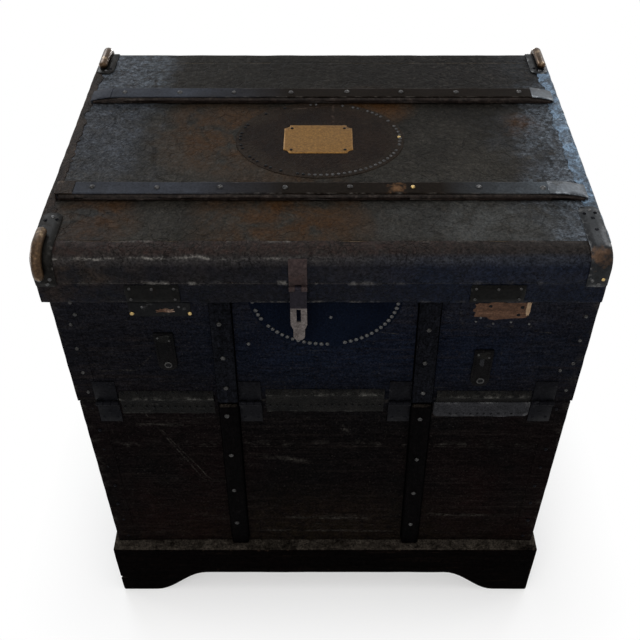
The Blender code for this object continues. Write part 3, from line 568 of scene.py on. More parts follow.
def metalFinish(name, **look):
    look = {**metalBase, **look}
    finish = Finish(name, look["specular"])
    place = finish.place
    x, y, z = place.axes()
    rust, rubbed, pits = finish.use(metalAge, rust=look["rust"], scale=look["bloom"])
    broad, fine, fleck = finish.use(ageMottle, scale=18)
    finish.colour = fine.mix(look["dark"], look["metal"])
    finish.coat(finish.use(edgeRub, amount=look["rub"], scale=90) * 0.8, look["bright"])
    finish.coat(rust * look["cover"], look["tarnish"])
    # painted sheen: a pale bluish reflection over each span of x, up to a depth of y
    for startX, endX, lastY, sheen in look["polished"]:
        near = x.ramp(startX, endX) * y.ramp(lastY, lastY + 0.01, 1, 0)
        finish.coat(near * broad.span(0.55, 1), sheen)
    if "stain" in look:
        middle, reach, tint = look["stain"]
        away = place.vector("DISTANCE", middle) + place.cloud(95, 6, 0.68).ramp(0.25, 0.75, -reach, reach)
        finish.coat(away.ramp(reach * 0.2, reach * 1.1, 0.9, 0), tint)
    finish.grit(0.35)
    feed(finish.tree, rust.span(look["metallic"], look["metallic"] * 0.25), finish.shader.inputs["Metallic"])
    smooth, rough = look["roughness"]
    return finish.close(rubbed.span(rough, smooth) + rust * 0.2, pits * 0.5 + rust * 0.6, look["relief"])


# paper lining of the inside: faded stripes and foxing
liningLook = {
    "ground": (2850, 2350, 1650), "stripe": (2050, 1500, 980), "fox": (1300, 780, 400), "pitch": 0.024,
    "specular": 0.2, "relief": 0.0006}


def liningFinish(look):
    finish = Finish("paperLining", look["specular"])
    x, y, z = finish.place.axes()
    sideways = restNormal(finish.tree).axes()[0].calc("ABSOLUTE").ramp(0.4, 0.6)
    run = sideways.span(x, y) * (math.tau / look["pitch"])
    stripes = (run.calc("SINE") + (run * 5).calc("SINE") * 0.35).ramp(0.35, 0.6)
    broad, fine, fleck = finish.use(ageMottle, scale=5)
    finish.colour = (stripes * 0.7).mix(look["ground"], look["stripe"])
    finish.coat(broad * 0.35, look["fox"])
    finish.coat(fleck * 0.5, look["fox"])
    return finish.close(fine.span(0.72, 0.9), fine, look["relief"])


bodyCanvas = bodyCanvasFinish(bodyCanvasLook)
lidCanvas = lidCanvasFinish(lidCanvasLook)
rollLeather = rollFinish(rollLook)
paperLining = liningFinish(liningLook)

# the oval patch on the lid, whose leather fades towards its rim
lidOval = {
    "x": -0.008, "y": middleY - 0.0025, "halfWidth": 0.128, "halfDepth": 0.104, "margin": 0.008,
    "thick": 0.0011, "stud": (0.0029, 0.0018), "endStud": (0.0036, 0.0024), "pitch": 0.009, "step": 0.014,
    "bend": 0.0005, "bendScale": 40}
ovalReach = (lidOval["halfWidth"] + lidOval["margin"], lidOval["halfDepth"] + lidOval["margin"])
ovalFade = ((lidOval["x"], lidOval["y"], lidTop), (1 / ovalReach[0], 1 / ovalReach[1], 0), (150, 112, 80))

blackLeather = leatherFinish(
    "blackLeather", dark=(17, 17, 20), light=(40, 36, 38), worn=(260, 230, 210), stretch=(70, 70, 10),
    rub=0.35, specular=0.02, roughness=(0.42, 0.66))
# painted shade: near-black leather for the shadow lines along the slats
paintedShadeBlack = leatherFinish(
    "paintedShadeBlack", dark=(6, 6, 7), light=(14, 13, 14), worn=(60, 60, 60), stretch=(70, 70, 20), patch=20,
    scuffs=0.2, rub=0, specular=0, roughness=(0.7, 0.9), grain=0.0003)
brownLeather = leatherFinish(
    "brownLeather", dark=(52, 36, 28), light=(230, 150, 105), worn=(600, 450, 350), stretch=(60, 9, 60),
    patch=36, scuffs=0.65, specular=0.06, grain=0.0012, wrinkle=95, crackle=90)
sideLeather = leatherFinish(
    "sideLeather", dark=(50, 46, 44), light=(120, 104, 92), worn=(600, 560, 520), stretch=(60, 9, 60),
    patch=14, scuffs=0.6, specular=0.08, grain=0.0007)
# painted reflection: the pale blue of the right lid binding's top
paintedSheenLeather = leatherFinish(
    "paintedSheenLeather", dark=(240, 310, 400), light=(1900, 2850, 4000), worn=(4000, 4800, 5600),
    stretch=(50, 30, 50), patch=34, scuffs=0.9, specular=0.15, roughness=(0.3, 0.52), grain=0.0024,
    wrinkle=75, crackle=110)
ovalLeather = leatherFinish(
    "ovalLeather", dark=(56, 36, 28), light=(112, 68, 46), worn=(440, 310, 240), stretch=(60, 12, 12),
    patch=16, rub=0.5, specular=0.028, roughness=(0.46, 0.68), grain=0.0012, fade=ovalFade, crackle=46,
    cracks=[(0.0134, 0.1062, 0.013, 0.0426, 0.003), (-0.06, 0.09, 0.01, 0.1, 0.0018)])
frontOvalLeather = leatherFinish(
    "frontOvalLeather", dark=(14, 24, 58), light=(24, 41, 94), worn=(220, 240, 300), stretch=(12, 12, 70),
    scuffs=0.25, rub=0.4, specular=0.008, roughness=(0.45, 0.66))
greyFlap = leatherFinish(
    "greyFlap", dark=(85, 88, 104), light=(190, 192, 215), worn=(620, 620, 640), stretch=(14, 60, 80),
    patch=20, scuffs=0.4, specular=0.05, roughness=(0.55, 0.75), grain=0.0006)
stripLeather = leatherFinish(
    "stripLeather", dark=(26, 27, 29), light=(82, 78, 72), worn=(700, 680, 620), stretch=(16, 60, 90),
    patch=24, scuffs=0.75, rub=0.62, specular=0.025, roughness=(0.48, 0.7), grain=0.0008)

fallSlatWood = timberFinish(
    "fallSlatWood", dark=(26, 29, 40), light=(56, 61, 84), pore=(10, 10, 14), worn=(220, 210, 210),
    rub=0.35, specular=0.008)
lowerSlatWood = timberFinish(
    "lowerSlatWood", dark=(6, 5, 6), light=(16, 12, 13), pore=(3, 3, 3), worn=(140, 120, 120), rub=0.3,
    scuffs=0.35, specular=0.006)
lidSlatWood = timberFinish(
    "lidSlatWood", dark=(66, 44, 37), light=(150, 102, 83), pore=(40, 28, 24), worn=(300, 240, 210),
    rub=0.55, dust=(360, 320, 280), dustAmount=0.3, stretch=(7, 110, 110), specular=0.07)
plinthWoodLook = {
    "dark": (6, 4, 4), "light": (17, 10, 9), "pore": (4, 3, 3), "worn": (300, 200, 140), "rub": 0.38,
    "dust": (560, 470, 380), "dustAmount": 0.75, "stretch": (6, 90, 90), "patch": 8, "scuffs": 0.7,
    "specular": 0.002, "roughness": (0.48, 0.7), "relief": 0.0006}
plinthWood = timberFinish("plinthWood", **plinthWoodLook)
plinthSideWood = timberFinish("plinthSideWood", **{**plinthWoodLook, "stretch": (90, 6, 90)})
bareTimber = timberFinish(
    "bareTimber", dark=(480, 240, 145), light=(1020, 530, 320), pore=(260, 150, 105),
    worn=(2000, 1400, 1050), rub=0.65, dust=(2000, 1600, 1200), dustAmount=0.2, stretch=(22, 80, 170),
    patch=30, specular=0.08, roughness=(0.6, 0.82), relief=0.0006, grit=(0.4, 0.3))
paleTimber = timberFinish(
    "paleTimber", dark=(2000, 1300, 750), light=(3200, 2200, 1350), pore=(1100, 650, 360),
    worn=(3800, 2900, 1900), rub=0.45, dust=(3000, 2500, 1900), dustAmount=0.3, stretch=(90, 90, 6),
    patch=8, scuffs=0.25, specular=0.2, roughness=(0.55, 0.78), grit=(0.25, 0.1))

# the straps' iron, with painted sheen spans at the left and right ends
strapIron = metalFinish(
    "strapIron", dark=(42, 30, 22), metal=(86, 63, 47), bright=(560, 500, 440), tarnish=(100, 64, 42),
    rust=0.42, bloom=14, rub=0.6, metallic=0, specular=0.016, roughness=(0.36, 0.58),
    polished=[(-0.06, -0.24, lidBack, (300, 335, 420)), (0.17, 0.33, middleY, (560, 650, 740))],
    stain=((0.106, strapLow.y + 0.013, strapHigh.z), 0.013, (900, 480, 240)))
# pale bluish iron of the right guards and the handle bails: partly the iron's own colour, partly a painted
# reflection of the light on the right
guardIron = metalFinish(
    "guardIron", dark=(55, 60, 66), metal=(140, 152, 168), bright=(1400, 1420, 1420),
    tarnish=(150, 108, 75), rust=0.35, bloom=22, rub=0.55, metallic=0.6, specular=0.15,
    roughness=(0.3, 0.52),
    stain=((lidRight - 0.015, lidFront + 0.006, lidTop - 0.005), 0.016, (520, 300, 180)))
# painted shade: a darker, duller copy of the guard iron for the left guards
dullShadedGuardIron = metalFinish(
    "dullShadedGuardIron", dark=(30, 27, 24), metal=(72, 66, 58), bright=(800, 760, 700), tarnish=(98, 68, 46),
    bloom=22, rub=0.5, metallic=0.3, specular=0.05, roughness=(0.32, 0.54))
lockIron = metalFinish(
    "lockIron", dark=(20, 20, 20), metal=(54, 52, 49), bright=(400, 380, 360), tarnish=(60, 43, 32),
    bloom=40, specular=0.04, relief=0.0005)
blackIron = metalFinish(
    "blackIron", dark=(24, 25, 33), metal=(56, 57, 72), bright=(320, 320, 340), tarnish=(44, 31, 27),
    metallic=0.15, specular=0.02)
hingeIron = metalFinish(
    "hingeIron", dark=(22, 24, 28), metal=(58, 60, 68), bright=(450, 440, 440), tarnish=(75, 48, 38),
    rub=0.45, metallic=0.4, specular=0.06, roughness=(0.38, 0.6))
nailIron = metalFinish(
    "nailIron", dark=(220, 220, 225), metal=(900, 900, 900), bright=(3000, 2950, 2850),
    tarnish=(220, 160, 120), rust=0.4, bloom=70, rub=0.3, metallic=0.8, specular=0.2, roughness=(0.28, 0.5),
    relief=0.0002)
studIron = metalFinish(
    "studIron", dark=(120, 115, 115), metal=(560, 550, 540), bright=(2000, 1950, 1900),
    tarnish=(160, 115, 88), rust=0.5, bloom=70, rub=0.3, metallic=0.75, specular=0.15,
    roughness=(0.3, 0.52), relief=0.0002)
brightCap = metalFinish(
    "brightCap", dark=(170, 200, 240), metal=(400, 465, 540), bright=(1800, 1950, 2100),
    tarnish=(180, 172, 164), rust=0.4, bloom=40, cover=0.7, rub=0.6, metallic=0.6, specular=0.25,
    roughness=(0.3, 0.52))
rustyIron = metalFinish(
    "rustyIron", dark=(200, 138, 138), metal=(390, 270, 262), bright=(900, 680, 640),
    tarnish=(420, 230, 190), rust=0.65, bloom=45, cover=0.6, specular=0.1, roughness=(0.5, 0.72),
    relief=0.0005)
tongueIron = metalFinish(
    "tongueIron", dark=(620, 520, 490), metal=(1250, 1080, 1020), bright=(2400, 2250, 2100),
    tarnish=(400, 280, 250), rust=0.4, bloom=60, cover=0.6, metallic=0.55, specular=0.15,
    roughness=(0.42, 0.62))
darkTongue = metalFinish(
    "darkTongue", dark=(70, 58, 85), metal=(150, 128, 175), bright=(560, 500, 550), tarnish=(180, 115, 110),
    bloom=50, cover=0.7, metallic=0.4, specular=0.08, roughness=(0.44, 0.64))
ribBronze = metalFinish(
    "ribBronze", dark=(210, 115, 58), metal=(640, 375, 185), bright=(2700, 1950, 1200),
    tarnish=(210, 120, 66), rust=0.42, bloom=34, cover=0.7, rub=0.5, metallic=0.65, specular=0.2,
    roughness=(0.28, 0.5), relief=0.0003)
plateBrass = metalFinish(
    "plateBrass", dark=(1020, 500, 130), metal=(1620, 850, 225), bright=(2800, 1700, 600),
    tarnish=(520, 260, 90), rust=0.3, bloom=60, cover=0.6, metallic=0.7, specular=0.08,
    roughness=(0.36, 0.54), relief=0.0002)
nailBrass = metalFinish(
    "nailBrass", dark=(2900, 1950, 740), metal=(4500, 3250, 1380), bright=(7000, 5600, 3000),
    tarnish=(1200, 700, 300), rust=0.18, bloom=80, cover=0.6, rub=0.2, metallic=0.85, specular=0.5,
    roughness=(0.22, 0.4), relief=0.0001)
print("trunk: finishes made,", len(bpy.data.materials))


# mesh helpers
def copyNode(node):
    bm = bmesh.new()
    bm.from_mesh(frame["nodes"][node].data)
    bmesh.ops.remove_doubles(bm, verts=bm.verts, dist=1e-5)
    bmesh.ops.dissolve_limit(bm, angle_limit=math.radians(1), verts=bm.verts, edges=bm.edges)
    return bm


def easeEdges(bm, width, segments=2, edges=None):
    if edges is None:
        sharp = math.radians(35)
        edges = [e for e in bm.edges if len(e.link_faces) == 2 and e.calc_face_angle() > sharp]
    bmesh.ops.bevel(bm, geom=edges, offset=width, segments=segments, profile=0.5, affect="EDGES", material=-1,
                    clamp_overlap=True)


def cutAcross(bm, place, direction):
    geom = bm.verts[:] + bm.edges[:] + bm.faces[:]
    bmesh.ops.bisect_plane(bm, geom=geom, dist=1e-6, plane_co=place, plane_no=direction)


def cutAt(bm, axis, level):
    direction = Vector([float(i == axis) for i in range(3)])
    cutAcross(bm, direction * level, direction)


def cutGrid(bm, step, inset=0):
    for axis in range(3):
        low = min(v.co[axis] for v in bm.verts)
        high = max(v.co[axis] for v in bm.verts)
        count = max(1, round((high - low) / step))
        levels = [low + (high - low) * i / count for i in range(1, count)]
        if inset and high - low > 4 * inset:
            levels += [low + inset, high - inset]
        for level in levels:
            cutAt(bm, axis, level)


# rub is 1 on outward bends and 0 on flats, and the shaders wear the edges by it
def markRub(bm, angle=12):
    layer = bm.verts.layers.float.get("rub") or bm.verts.layers.float.new("rub")
    bm.normal_update()
    for v in bm.verts:
        turns = [e.calc_face_angle_signed() for e in v.link_edges if len(e.link_faces) == 2]
        v[layer] = float(any(turn > math.radians(angle) for turn in turns))
    return layer


def crumple(bm, amount, grain):
    bm.normal_update()
    moves = [(v, v.normal * amount * noise.noise(v.co * grain)) for v in bm.verts]
    for v, move in moves:
        v.co += move
        v.co.z = max(v.co.z, 0)


def paint(made, index):
    for face in {f for v in made["verts"] for f in v.link_faces}:
        face.material_index = index


def edgesOf(verts):
    return list({e for v in verts for e in v.link_edges})


# edges across a board's thickness at its foot, for rounding its lower corners
def footEdges(bm, thinnest):
    foot = min(v.co.z for v in bm.verts) + 0.001
    low = [e for e in bm.edges if all(v.co.z < foot for v in e.verts)]
    return [e for e in low if abs(e.verts[0].co.y - e.verts[1].co.y) > thinnest]


# a place on the front, so far out from its boards
def frontSpot(x, z, out):
    return Vector((x, frontY - out, z))


# turns a shape's own Z along facing and moves it to its place
def lieOn(place, facing):
    return Matrix.Translation(place) @ facing.to_track_quat("Z", "Y").to_matrix().to_4x4()


def addSlab(bm, low, high, edge, index=0):
    low, high = Vector(low), Vector(high)
    matrix = Matrix.Translation((low + high) / 2) @ Matrix.Diagonal((*(high - low), 1))
    made = bmesh.ops.create_cube(bm, size=1, matrix=matrix)
    paint(made, index)
    easeEdges(bm, edge, 1, edgesOf(made["verts"]))


# a domed head of a radius and a rise, never quite round
def addNail(bm, place, facing, size, index=0):
    radius, rise = size
    across, along = [radius * chance.uniform(0.92, 1.08) for axis in range(2)]
    matrix = lieOn(place, facing) @ Matrix.Diagonal((across, along, rise, 1))
    paint(bmesh.ops.create_uvsphere(bm, u_segments=8, v_segments=6, radius=1, matrix=matrix), index)


def nailRow(bm, start, end, count, facing, size, stray):
    for i in range(count):
        place = Vector(start).lerp(Vector(end), i / max(1, count - 1))
        place += Vector([chance.uniform(-stray, stray) for axis in range(3)])
        addNail(bm, place, facing, size)


# a flat scrap with a ragged outline, lying on a face that looks along facing
def addScrap(bm, middle, halfSize, facing, thickness, ragged, index=0, sides=22):
    made = bmesh.ops.create_cone(bm, cap_ends=True, segments=sides, radius1=1, radius2=0.97, depth=1)
    for v in made["verts"]:
        angle = math.atan2(v.co.y, v.co.x)
        square = 1 / max(abs(math.cos(angle)), abs(math.sin(angle))) ** 0.55
        spot = Vector((math.cos(angle) * 2.2, math.sin(angle) * 2.2, middle[0] * 50))
        reach = square * (1 + ragged * noise.noise(spot))
        v.co.x *= reach * halfSize[0]
        v.co.y *= reach * halfSize[1]
        v.co.z *= thickness
    paint(made, index)
    bmesh.ops.transform(bm, matrix=lieOn(middle, facing), verts=made["verts"])


# a round wire ring: the spin hands back only its last loop, so the ring is gathered along its edges
def addRing(bm, middle, facing, radius, wire, index):
    matrix = Matrix.Translation((radius, 0, 0)) @ Matrix.Rotation(math.pi / 2, 4, "X")
    made = bmesh.ops.create_circle(bm, segments=8, radius=wire, matrix=matrix)
    bmesh.ops.spin(bm, geom=made["verts"] + edgesOf(made["verts"]), cent=(0, 0, 0), axis=(0, 0, 1),
                   angle=math.tau, steps=20, use_merge=True)
    ring = {v for v in made["verts"] if v.is_valid}
    more = ring
    while more:
        more = {e.other_vert(v) for v in ring for e in v.link_edges} - ring
        ring |= more
    bmesh.ops.recalc_face_normals(bm, faces=list({f for v in ring for f in v.link_faces}))
    paint({"verts": ring}, index)
    bmesh.ops.transform(bm, matrix=lieOn(middle, facing), verts=list(ring))


# angles round an oval, at even steps along its rim
def ovalAngles(halfWide, halfTall, pitch, start, end):
    angle = start
    while angle < end:
        yield angle
        angle += pitch / math.hypot(halfWide * math.sin(angle), halfTall * math.cos(angle))


def finishPiece(name, bm, finishes, body, slot, stands=(), smoothAngle=40):
    bm.normal_update()
    mesh = bpy.data.meshes.new(name)
    bm.to_mesh(mesh)
    bm.free()
    mesh.shade_smooth()
    mesh.set_sharp_from_angle(angle=math.radians(smoothAngle))
    for finish in finishes:
        mesh.materials.append(finish)
    piece = bpy.data.objects.new(name, mesh)
    scene.collection.objects.link(piece)
    if body:
        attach(piece, body)
    if stands:
        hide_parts(*stands)
    return piece


def pieceName(node):
    first, *rest = node.split("_")
    return first + "".join(word.capitalize() for word in rest)


# a node's own shape with eased edges, cut fine enough to bend, in the finishes that pick chooses from
def dressNode(node, finishes, slot, look, pick=None, shape=None, carve=None):
    bm = copyNode(node)
    if carve:
        carve(bm)
    easeEdges(bm, look["edge"], look.get("segments", 2))
    cutGrid(bm, look["step"], look.get("inset", 0))
    if shape:
        shape(bm)
    markRub(bm)
    if "bend" in look:
        crumple(bm, look["bend"], look["bendScale"])
    if pick:
        bm.normal_update()
        for face in bm.faces:
            face.material_index = pick(face)
    finishPiece(pieceName(node), bm, finishes, nodeBody[node], slot, (node,))


# picks the second finish, paper, for the faces that look inwards
def linedTowards(inward):
    return lambda face: int(face.normal.dot(inward) > 0.8)


# plinth: four boards with bracket feet, a split in the left front foot
plinthLook = {
    "edge": 0.0035, "segments": 3, "step": 0.022, "inset": 0.007, "bend": 0.0006, "bendScale": 17,
    "split": 0.048, "splitDepth": 0.015, "splitMouth": 0.0046, "splitLean": 0.95, "splitRun": 0.075}


def splitFoot(bm):
    corner = Vector((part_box("plinth_left")[0].x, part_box("plinth_front")[0].y, plinthLook["split"]))
    lean = Vector((0, plinthLook["splitLean"], 1))
    for lift in (-1, -0.5, 0, 0.5, 1):
        cutAcross(bm, corner + up * lift * plinthLook["splitMouth"], lean.normalized())
    for v in bm.verts:
        near = 1 - abs((v.co - corner).dot(lean)) / plinthLook["splitMouth"]
        fade = min(1, 2 - 2 * (v.co.y - corner.y) / plinthLook["splitRun"])
        if near > 0 and fade > 0:
            v.co.x = max(v.co.x, corner.x + plinthLook["splitDepth"] * near * fade)


for side in ("front", "back", "left", "right"):
    wood = plinthWood if side in ("front", "back") else plinthSideWood
    split = splitFoot if side in ("front", "left") else None
    dressNode("plinth_" + side, [wood], "plinth_wood", plinthLook, shape=split)
print("trunk: plinth done")

# boards of the body, canvas outside and paper inside
bodyLook = {
    "edge": 0.0022, "step": 0.024, "inset": 0.006, "bend": 0.0007, "bendScale": 13, "boardJoint": 0.438,
    "jointHalf": 0.0022, "jointDepth": 0.0013}
bottomLook = {"edge": 0.001, "step": 0.04}
postLook = {"edge": 0.0015, "step": 0.03, "inset": 0.005, "bend": 0.0003, "bendScale": 20}
insides = {
    "lower_front": behind, "fall_panel": behind, "lower_left": rightward, "upper_left": rightward,
    "lower_right": leftward, "upper_right": leftward, "back_panel": ahead}


# the line where two boards under the canvas of the lower front meet
def boardJoint(bm):
    level = bodyLook["boardJoint"]
    for lift in (-bodyLook["jointHalf"], 0, bodyLook["jointHalf"]):
        cutAt(bm, 2, level + lift)
    for v in bm.verts:
        if abs(v.co.z - level) < 0.0008 and v.co.y < frontY + 0.002:
            v.co.y += bodyLook["jointDepth"]


for node, inward in insides.items():
    joint = boardJoint if node == "lower_front" else None
    dressNode(node, [bodyCanvas, paperLining], "canvas", bodyLook, linedTowards(inward), joint)
dressNode("bottom_board", [paperLining], "bare_wood", bottomLook)
for side in ("left", "right"):
    dressNode("front_post_" + side, [paleTimber], "bare_wood", postLook)
print("trunk: body boards done")

# leather bindings nailed over the body's upright corners
bindingLook = {
    "width": 0.034, "thick": 0.001, "sink": 0.001, "edge": 0.0004, "step": 0.02, "bend": 0.0006,
    "bendScale": 40, "nail": (0.0034, 0.0022), "pitch": 0.05, "stray": 0.0025, "nailInset": 0.55,
    "backInset": 0.5, "lowNail": 0.018, "highNail": 0.014, "rubBand": 0.002, "flatRub": 0.25,
    "upper": (upperHalf, midZ + 0.002, rimZ - 0.0008, "fall_front", studIron),
    "lower": (lowerHalf, plinthTop + 0.0006, midZ - 0.002, "trunk", blackIron),
    "faceNails": [(-0.3711, 0.7726), (-0.3688, 0.7486), (-0.3787, 0.7282), (-0.3795, 0.6772),
        (-0.3803, 0.6235), (-0.38, 0.578), (0.3856, 0.7446), (0.3865, 0.6945), (0.3856, 0.644),
        (0.3682, 0.6281), (0.386, 0.582)]}
thick, wide, sink, edge = (bindingLook[key] for key in ("thick", "width", "sink", "edge"))


def bindingNails(bm, x, y, facing, low, high):
    rows = max(3, round((high - low) / bindingLook["pitch"]))
    start, end = (x, y, low + bindingLook["lowNail"]), (x, y, high - bindingLook["highNail"])
    nailRow(bm, start, end, rows, facing, bindingLook["nail"], bindingLook["stray"])


for label in ("upper", "lower"):
    half, low, high, frontBody, nailFinish = bindingLook[label]
    faceStrips, sideStrips, faceNails, sideNails = bmesh.new(), bmesh.new(), bmesh.new(), bmesh.new()
    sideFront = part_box("upper_left")[0].y if label == "upper" else frontY
    for sign in (-1, 1):
        inner, outer = sorted((sign * (half - wide), sign * half))
        addSlab(faceStrips, (inner, frontY - thick, low), (outer, frontY + sink, high), edge)
        if label == "lower":
            nailX = sign * (half - wide * bindingLook["nailInset"])
            bindingNails(faceNails, nailX, frontY - thick, ahead, low, high)
        nearX, farX = sorted((sign * (half - sink), sign * (half + thick)))
        for edgeY, inward in ((sideFront, 1), (backY, -1)):
            lowY, highY = sorted((edgeY, edgeY + inward * wide))
            addSlab(sideStrips, (nearX, lowY, low), (farX, highY, high), edge)
            nailY = edgeY + inward * wide * bindingLook["nailInset"]
            bindingNails(sideNails, sign * (half + thick), nailY, rightward * sign, low, high)
        inner, outer = sorted((sign * (lowerHalf - wide), sign * (half + thick)))
        addSlab(sideStrips, (inner, backY - sink, low), (outer, backY + thick, high), edge)
        nailX = sign * (half - wide * bindingLook["backInset"])
        bindingNails(sideNails, nailX, backY + thick, behind, low, high)
    if label == "upper":
        for x, z in bindingLook["faceNails"]:
            addNail(faceNails, frontSpot(x, z, thick), ahead, bindingLook["nail"])
    for kind, strips, nails, body, leather in (("Face", faceStrips, faceNails, frontBody, bodyCanvas),
                                               ("Side", sideStrips, sideNails, "trunk", blackLeather)):
        cutGrid(strips, bindingLook["step"])
        layer = markRub(strips)
        for v in strips.verts:
            onCorner = kind == "Face" and abs(v.co.x) > half - bindingLook["rubBand"]
            v[layer] *= 1 if onCorner else bindingLook["flatRub"]
        crumple(strips, bindingLook["bend"], bindingLook["bendScale"])
        finishPiece(label + kind + "Bindings", strips, [leather], body, "leather")
        finishPiece(label + kind + "BindingNails", nails, [nailFinish], body, "iron")
print("trunk: bindings done")

# slats on the front, broken at the joint, with a row of domed nails each
slatLook = {
    "edge": 0.0022, "segments": 3, "step": 0.028, "inset": 0.006, "bend": 0.0006, "bendScale": 26,
    "nail": (0.0042, 0.003), "dirt": 0.0019, "shadeThick": 0.0004, "shadeEdge": 0.0001, "footRound": 0.0105,
    "left": [(-0.1568, 0.7359), (-0.1566, 0.6635), (-0.1572, 0.595), (-0.1608, 0.5266), (-0.1612, 0.4233),
        (-0.1632, 0.3218), (-0.165, 0.219)],
    "right": [(0.1546, 0.7235), (0.1541, 0.6524), (0.1563, 0.5831), (0.1562, 0.519), (0.1582, 0.4117),
        (0.1592, 0.3127), (0.1606, 0.2138)]}
upperNails, lowerNails = bmesh.new(), bmesh.new()


# painted shade along a slat: a dark sheet a little wider than the slat, standing for the shadow at its sides
def addPaintedShadeLine(node):
    low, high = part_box(node)
    middles = []
    for level in (high.z, low.z):
        row = [v.co.x for v in frame["nodes"][node].data.vertices if abs(v.co.z - level) < 0.004]
        middles.append(sum(row) / len(row))
    topX, footX = middles
    half = (high.x - low.x - abs(topX - footX)) / 2 + slatLook["dirt"]
    foot = low.z + (slatLook["footRound"] if "lower" in node else 0)
    bm = bmesh.new()
    out = slatLook["shadeThick"]
    addSlab(bm, (-half, frontY - out, foot), (half, frontY + out, high.z), slatLook["shadeEdge"])
    for v in bm.verts:
        v.co.x += footX + (topX - footX) * (v.co.z - low.z) / (high.z - low.z)
    markRub(bm, 180)
    finishPiece(pieceName(node) + "Dirt", bm, [paintedShadeBlack], nodeBody[node], "canvas")


def roundFoot(bm):
    easeEdges(bm, slatLook["footRound"], 5, footEdges(bm, 0.003))


for side in ("left", "right"):
    for part, wood, foot in (("fall", fallSlatWood, None), ("lower", lowerSlatWood, roundFoot)):
        dressNode(part + "_slat_" + side, [wood], "slat_wood", slatLook, carve=foot)
        addPaintedShadeLine(part + "_slat_" + side)
    for x, z in slatLook[side]:
        addNail(upperNails if z > midZ else lowerNails, Vector((x, slatFace, z)), ahead, slatLook["nail"])
finishPiece("fallSlatNails", upperNails, [studIron], "fall_front", "iron")
finishPiece("lowerSlatNails", lowerNails, [studIron], "trunk", "iron")

# fall hinges with flat screws: each by its share of the leaf's width and its distance from the leaf's end
hingeLook = {
    "edge": 0.0006, "segments": 1, "step": 0.018, "screw": (0.003, 0.0008), "out": 0.0022,
    "screws": [(0.2, 0.01), (0.8, 0.01), (0.5, 0.024)]}
fallScrews, trunkScrews = bmesh.new(), bmesh.new()
for place in ("outer_left", "inner_left", "inner_right", "outer_right"):
    for part, screws in (("upper", fallScrews), ("lower", trunkScrews)):
        node = "fall_hinge_" + part + "_" + place
        dressNode(node, [blackIron], "iron", hingeLook)
        low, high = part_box(node)
        for share, inset in hingeLook["screws"]:
            z = high.z - inset if part == "upper" else low.z + inset
            spot = frontSpot(low.x + (high.x - low.x) * share, z, hingeLook["out"])
            addNail(screws, spot, ahead, hingeLook["screw"])
finishPiece("fallHingeScrews", fallScrews, [blackIron], "fall_front", "iron")
finishPiece("lowerHingeScrews", trunkScrews, [blackIron], "trunk", "iron")
print("trunk: slats and fall hinges done")

# strips nailed over the joint: a roll above it and a skirt below
jointLook = {
    "thick": 0.0012, "out": 0.0006, "rollWidth": 0.0062, "crestWidth": 0.0045, "rim": 0.003,
    "ragged": 0.0022, "pucker": 0.0005, "tack": (0.0019, 0.0013), "tackPitch": 0.0115, "endGap": 0.006,
    "tackStray": 0.001, "lowerLost": 0.12, "upperLost": 0.2, "bendLow": 0.007, "bendHigh": 0.006,
    "left": {"x": (-0.332, -0.18), "z": (0.525, 0.579), "ridge": 0.565, "bulge": 0.0055, "tacks": 0.5415},
    "centre": {"x": (-0.0955, 0.0955), "z": (0.53, 0.584), "ridge": 0.5745, "bulge": 0.0045, "tacks": 0.5455},
    "right": {"x": (0.18, 0.332), "z": (0.548, 0.58), "ridge": 0.569, "bulge": 0.0045, "tacks": None}}


def jointStrip(label, look):
    (xLow, xHigh), (zLow, zHigh) = look["x"], look["z"]
    bm = bmesh.new()
    bmesh.ops.create_grid(bm, x_segments=44, y_segments=18, size=0.5)
    for v in bm.verts:
        across = v.co.y + 0.5
        x = xLow + (xHigh - xLow) * (v.co.x + 0.5)
        ragged = jointLook["ragged"] * noise.noise(Vector((x * 60, 3.1, zLow * 40))) * (1 - across)
        z = zLow + (zHigh - zLow) * across - ragged
        roll = look["bulge"] * math.exp(-((z - look["ridge"]) / jointLook["rollWidth"]) ** 2)
        roll *= 1 + 0.25 * noise.noise(Vector((x * 34, 1.7, 0)))
        pucker = jointLook["pucker"] * noise.noise(Vector((x * 120, z * 120, 5)))
        v.co = frontSpot(x, z, jointLook["out"] + roll + abs(pucker))
    bm.normal_update()
    if sum(f.normal.y for f in bm.faces) > 0:
        bmesh.ops.reverse_faces(bm, faces=bm.faces)
    bmesh.ops.solidify(bm, geom=bm.faces[:], thickness=jointLook["thick"])
    bmesh.ops.recalc_face_normals(bm, faces=bm.faces)
    # rub is highest along the crest of the roll and near the lower rim: wear there, and along the crest also
    # a painted highlight
    layer = bm.verts.layers.float.new("rub")
    for v in bm.verts:
        crest = math.exp(-((v.co.z - look["ridge"] + 0.001) / jointLook["crestWidth"]) ** 2)
        v[layer] = max(crest, 0.8 * max(0, 1 - abs(v.co.z - zLow) / jointLook["rim"]))
    piece = finishPiece(label + "JointStrip", bm, [stripLeather], None, "leather")
    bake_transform(piece)
    lowTacks, highTacks = bmesh.new(), bmesh.new()
    count = round((xHigh - xLow) / jointLook["tackPitch"])
    for i in range(count):
        x = xLow + jointLook["endGap"] + (xHigh - xLow - 2 * jointLook["endGap"]) * i / (count - 1)
        if look["tacks"] and chance.random() > jointLook["lowerLost"]:
            z = look["tacks"] + chance.uniform(-jointLook["tackStray"], jointLook["tackStray"])
            addNail(lowTacks, frontSpot(x, z, 0.0018), ahead, jointLook["tack"])
        if chance.random() > jointLook["upperLost"]:
            addNail(highTacks, frontSpot(x, zHigh - 0.003, 0.0016), ahead, jointLook["tack"])
    if look["tacks"]:
        finishPiece(label + "LowerTacks", lowTacks, [hingeIron], "trunk", "iron")
    finishPiece(label + "UpperTacks", highTacks, [hingeIron], "fall_front", "iron")


for label in ("left", "centre", "right"):
    jointStrip(label, jointLook[label])

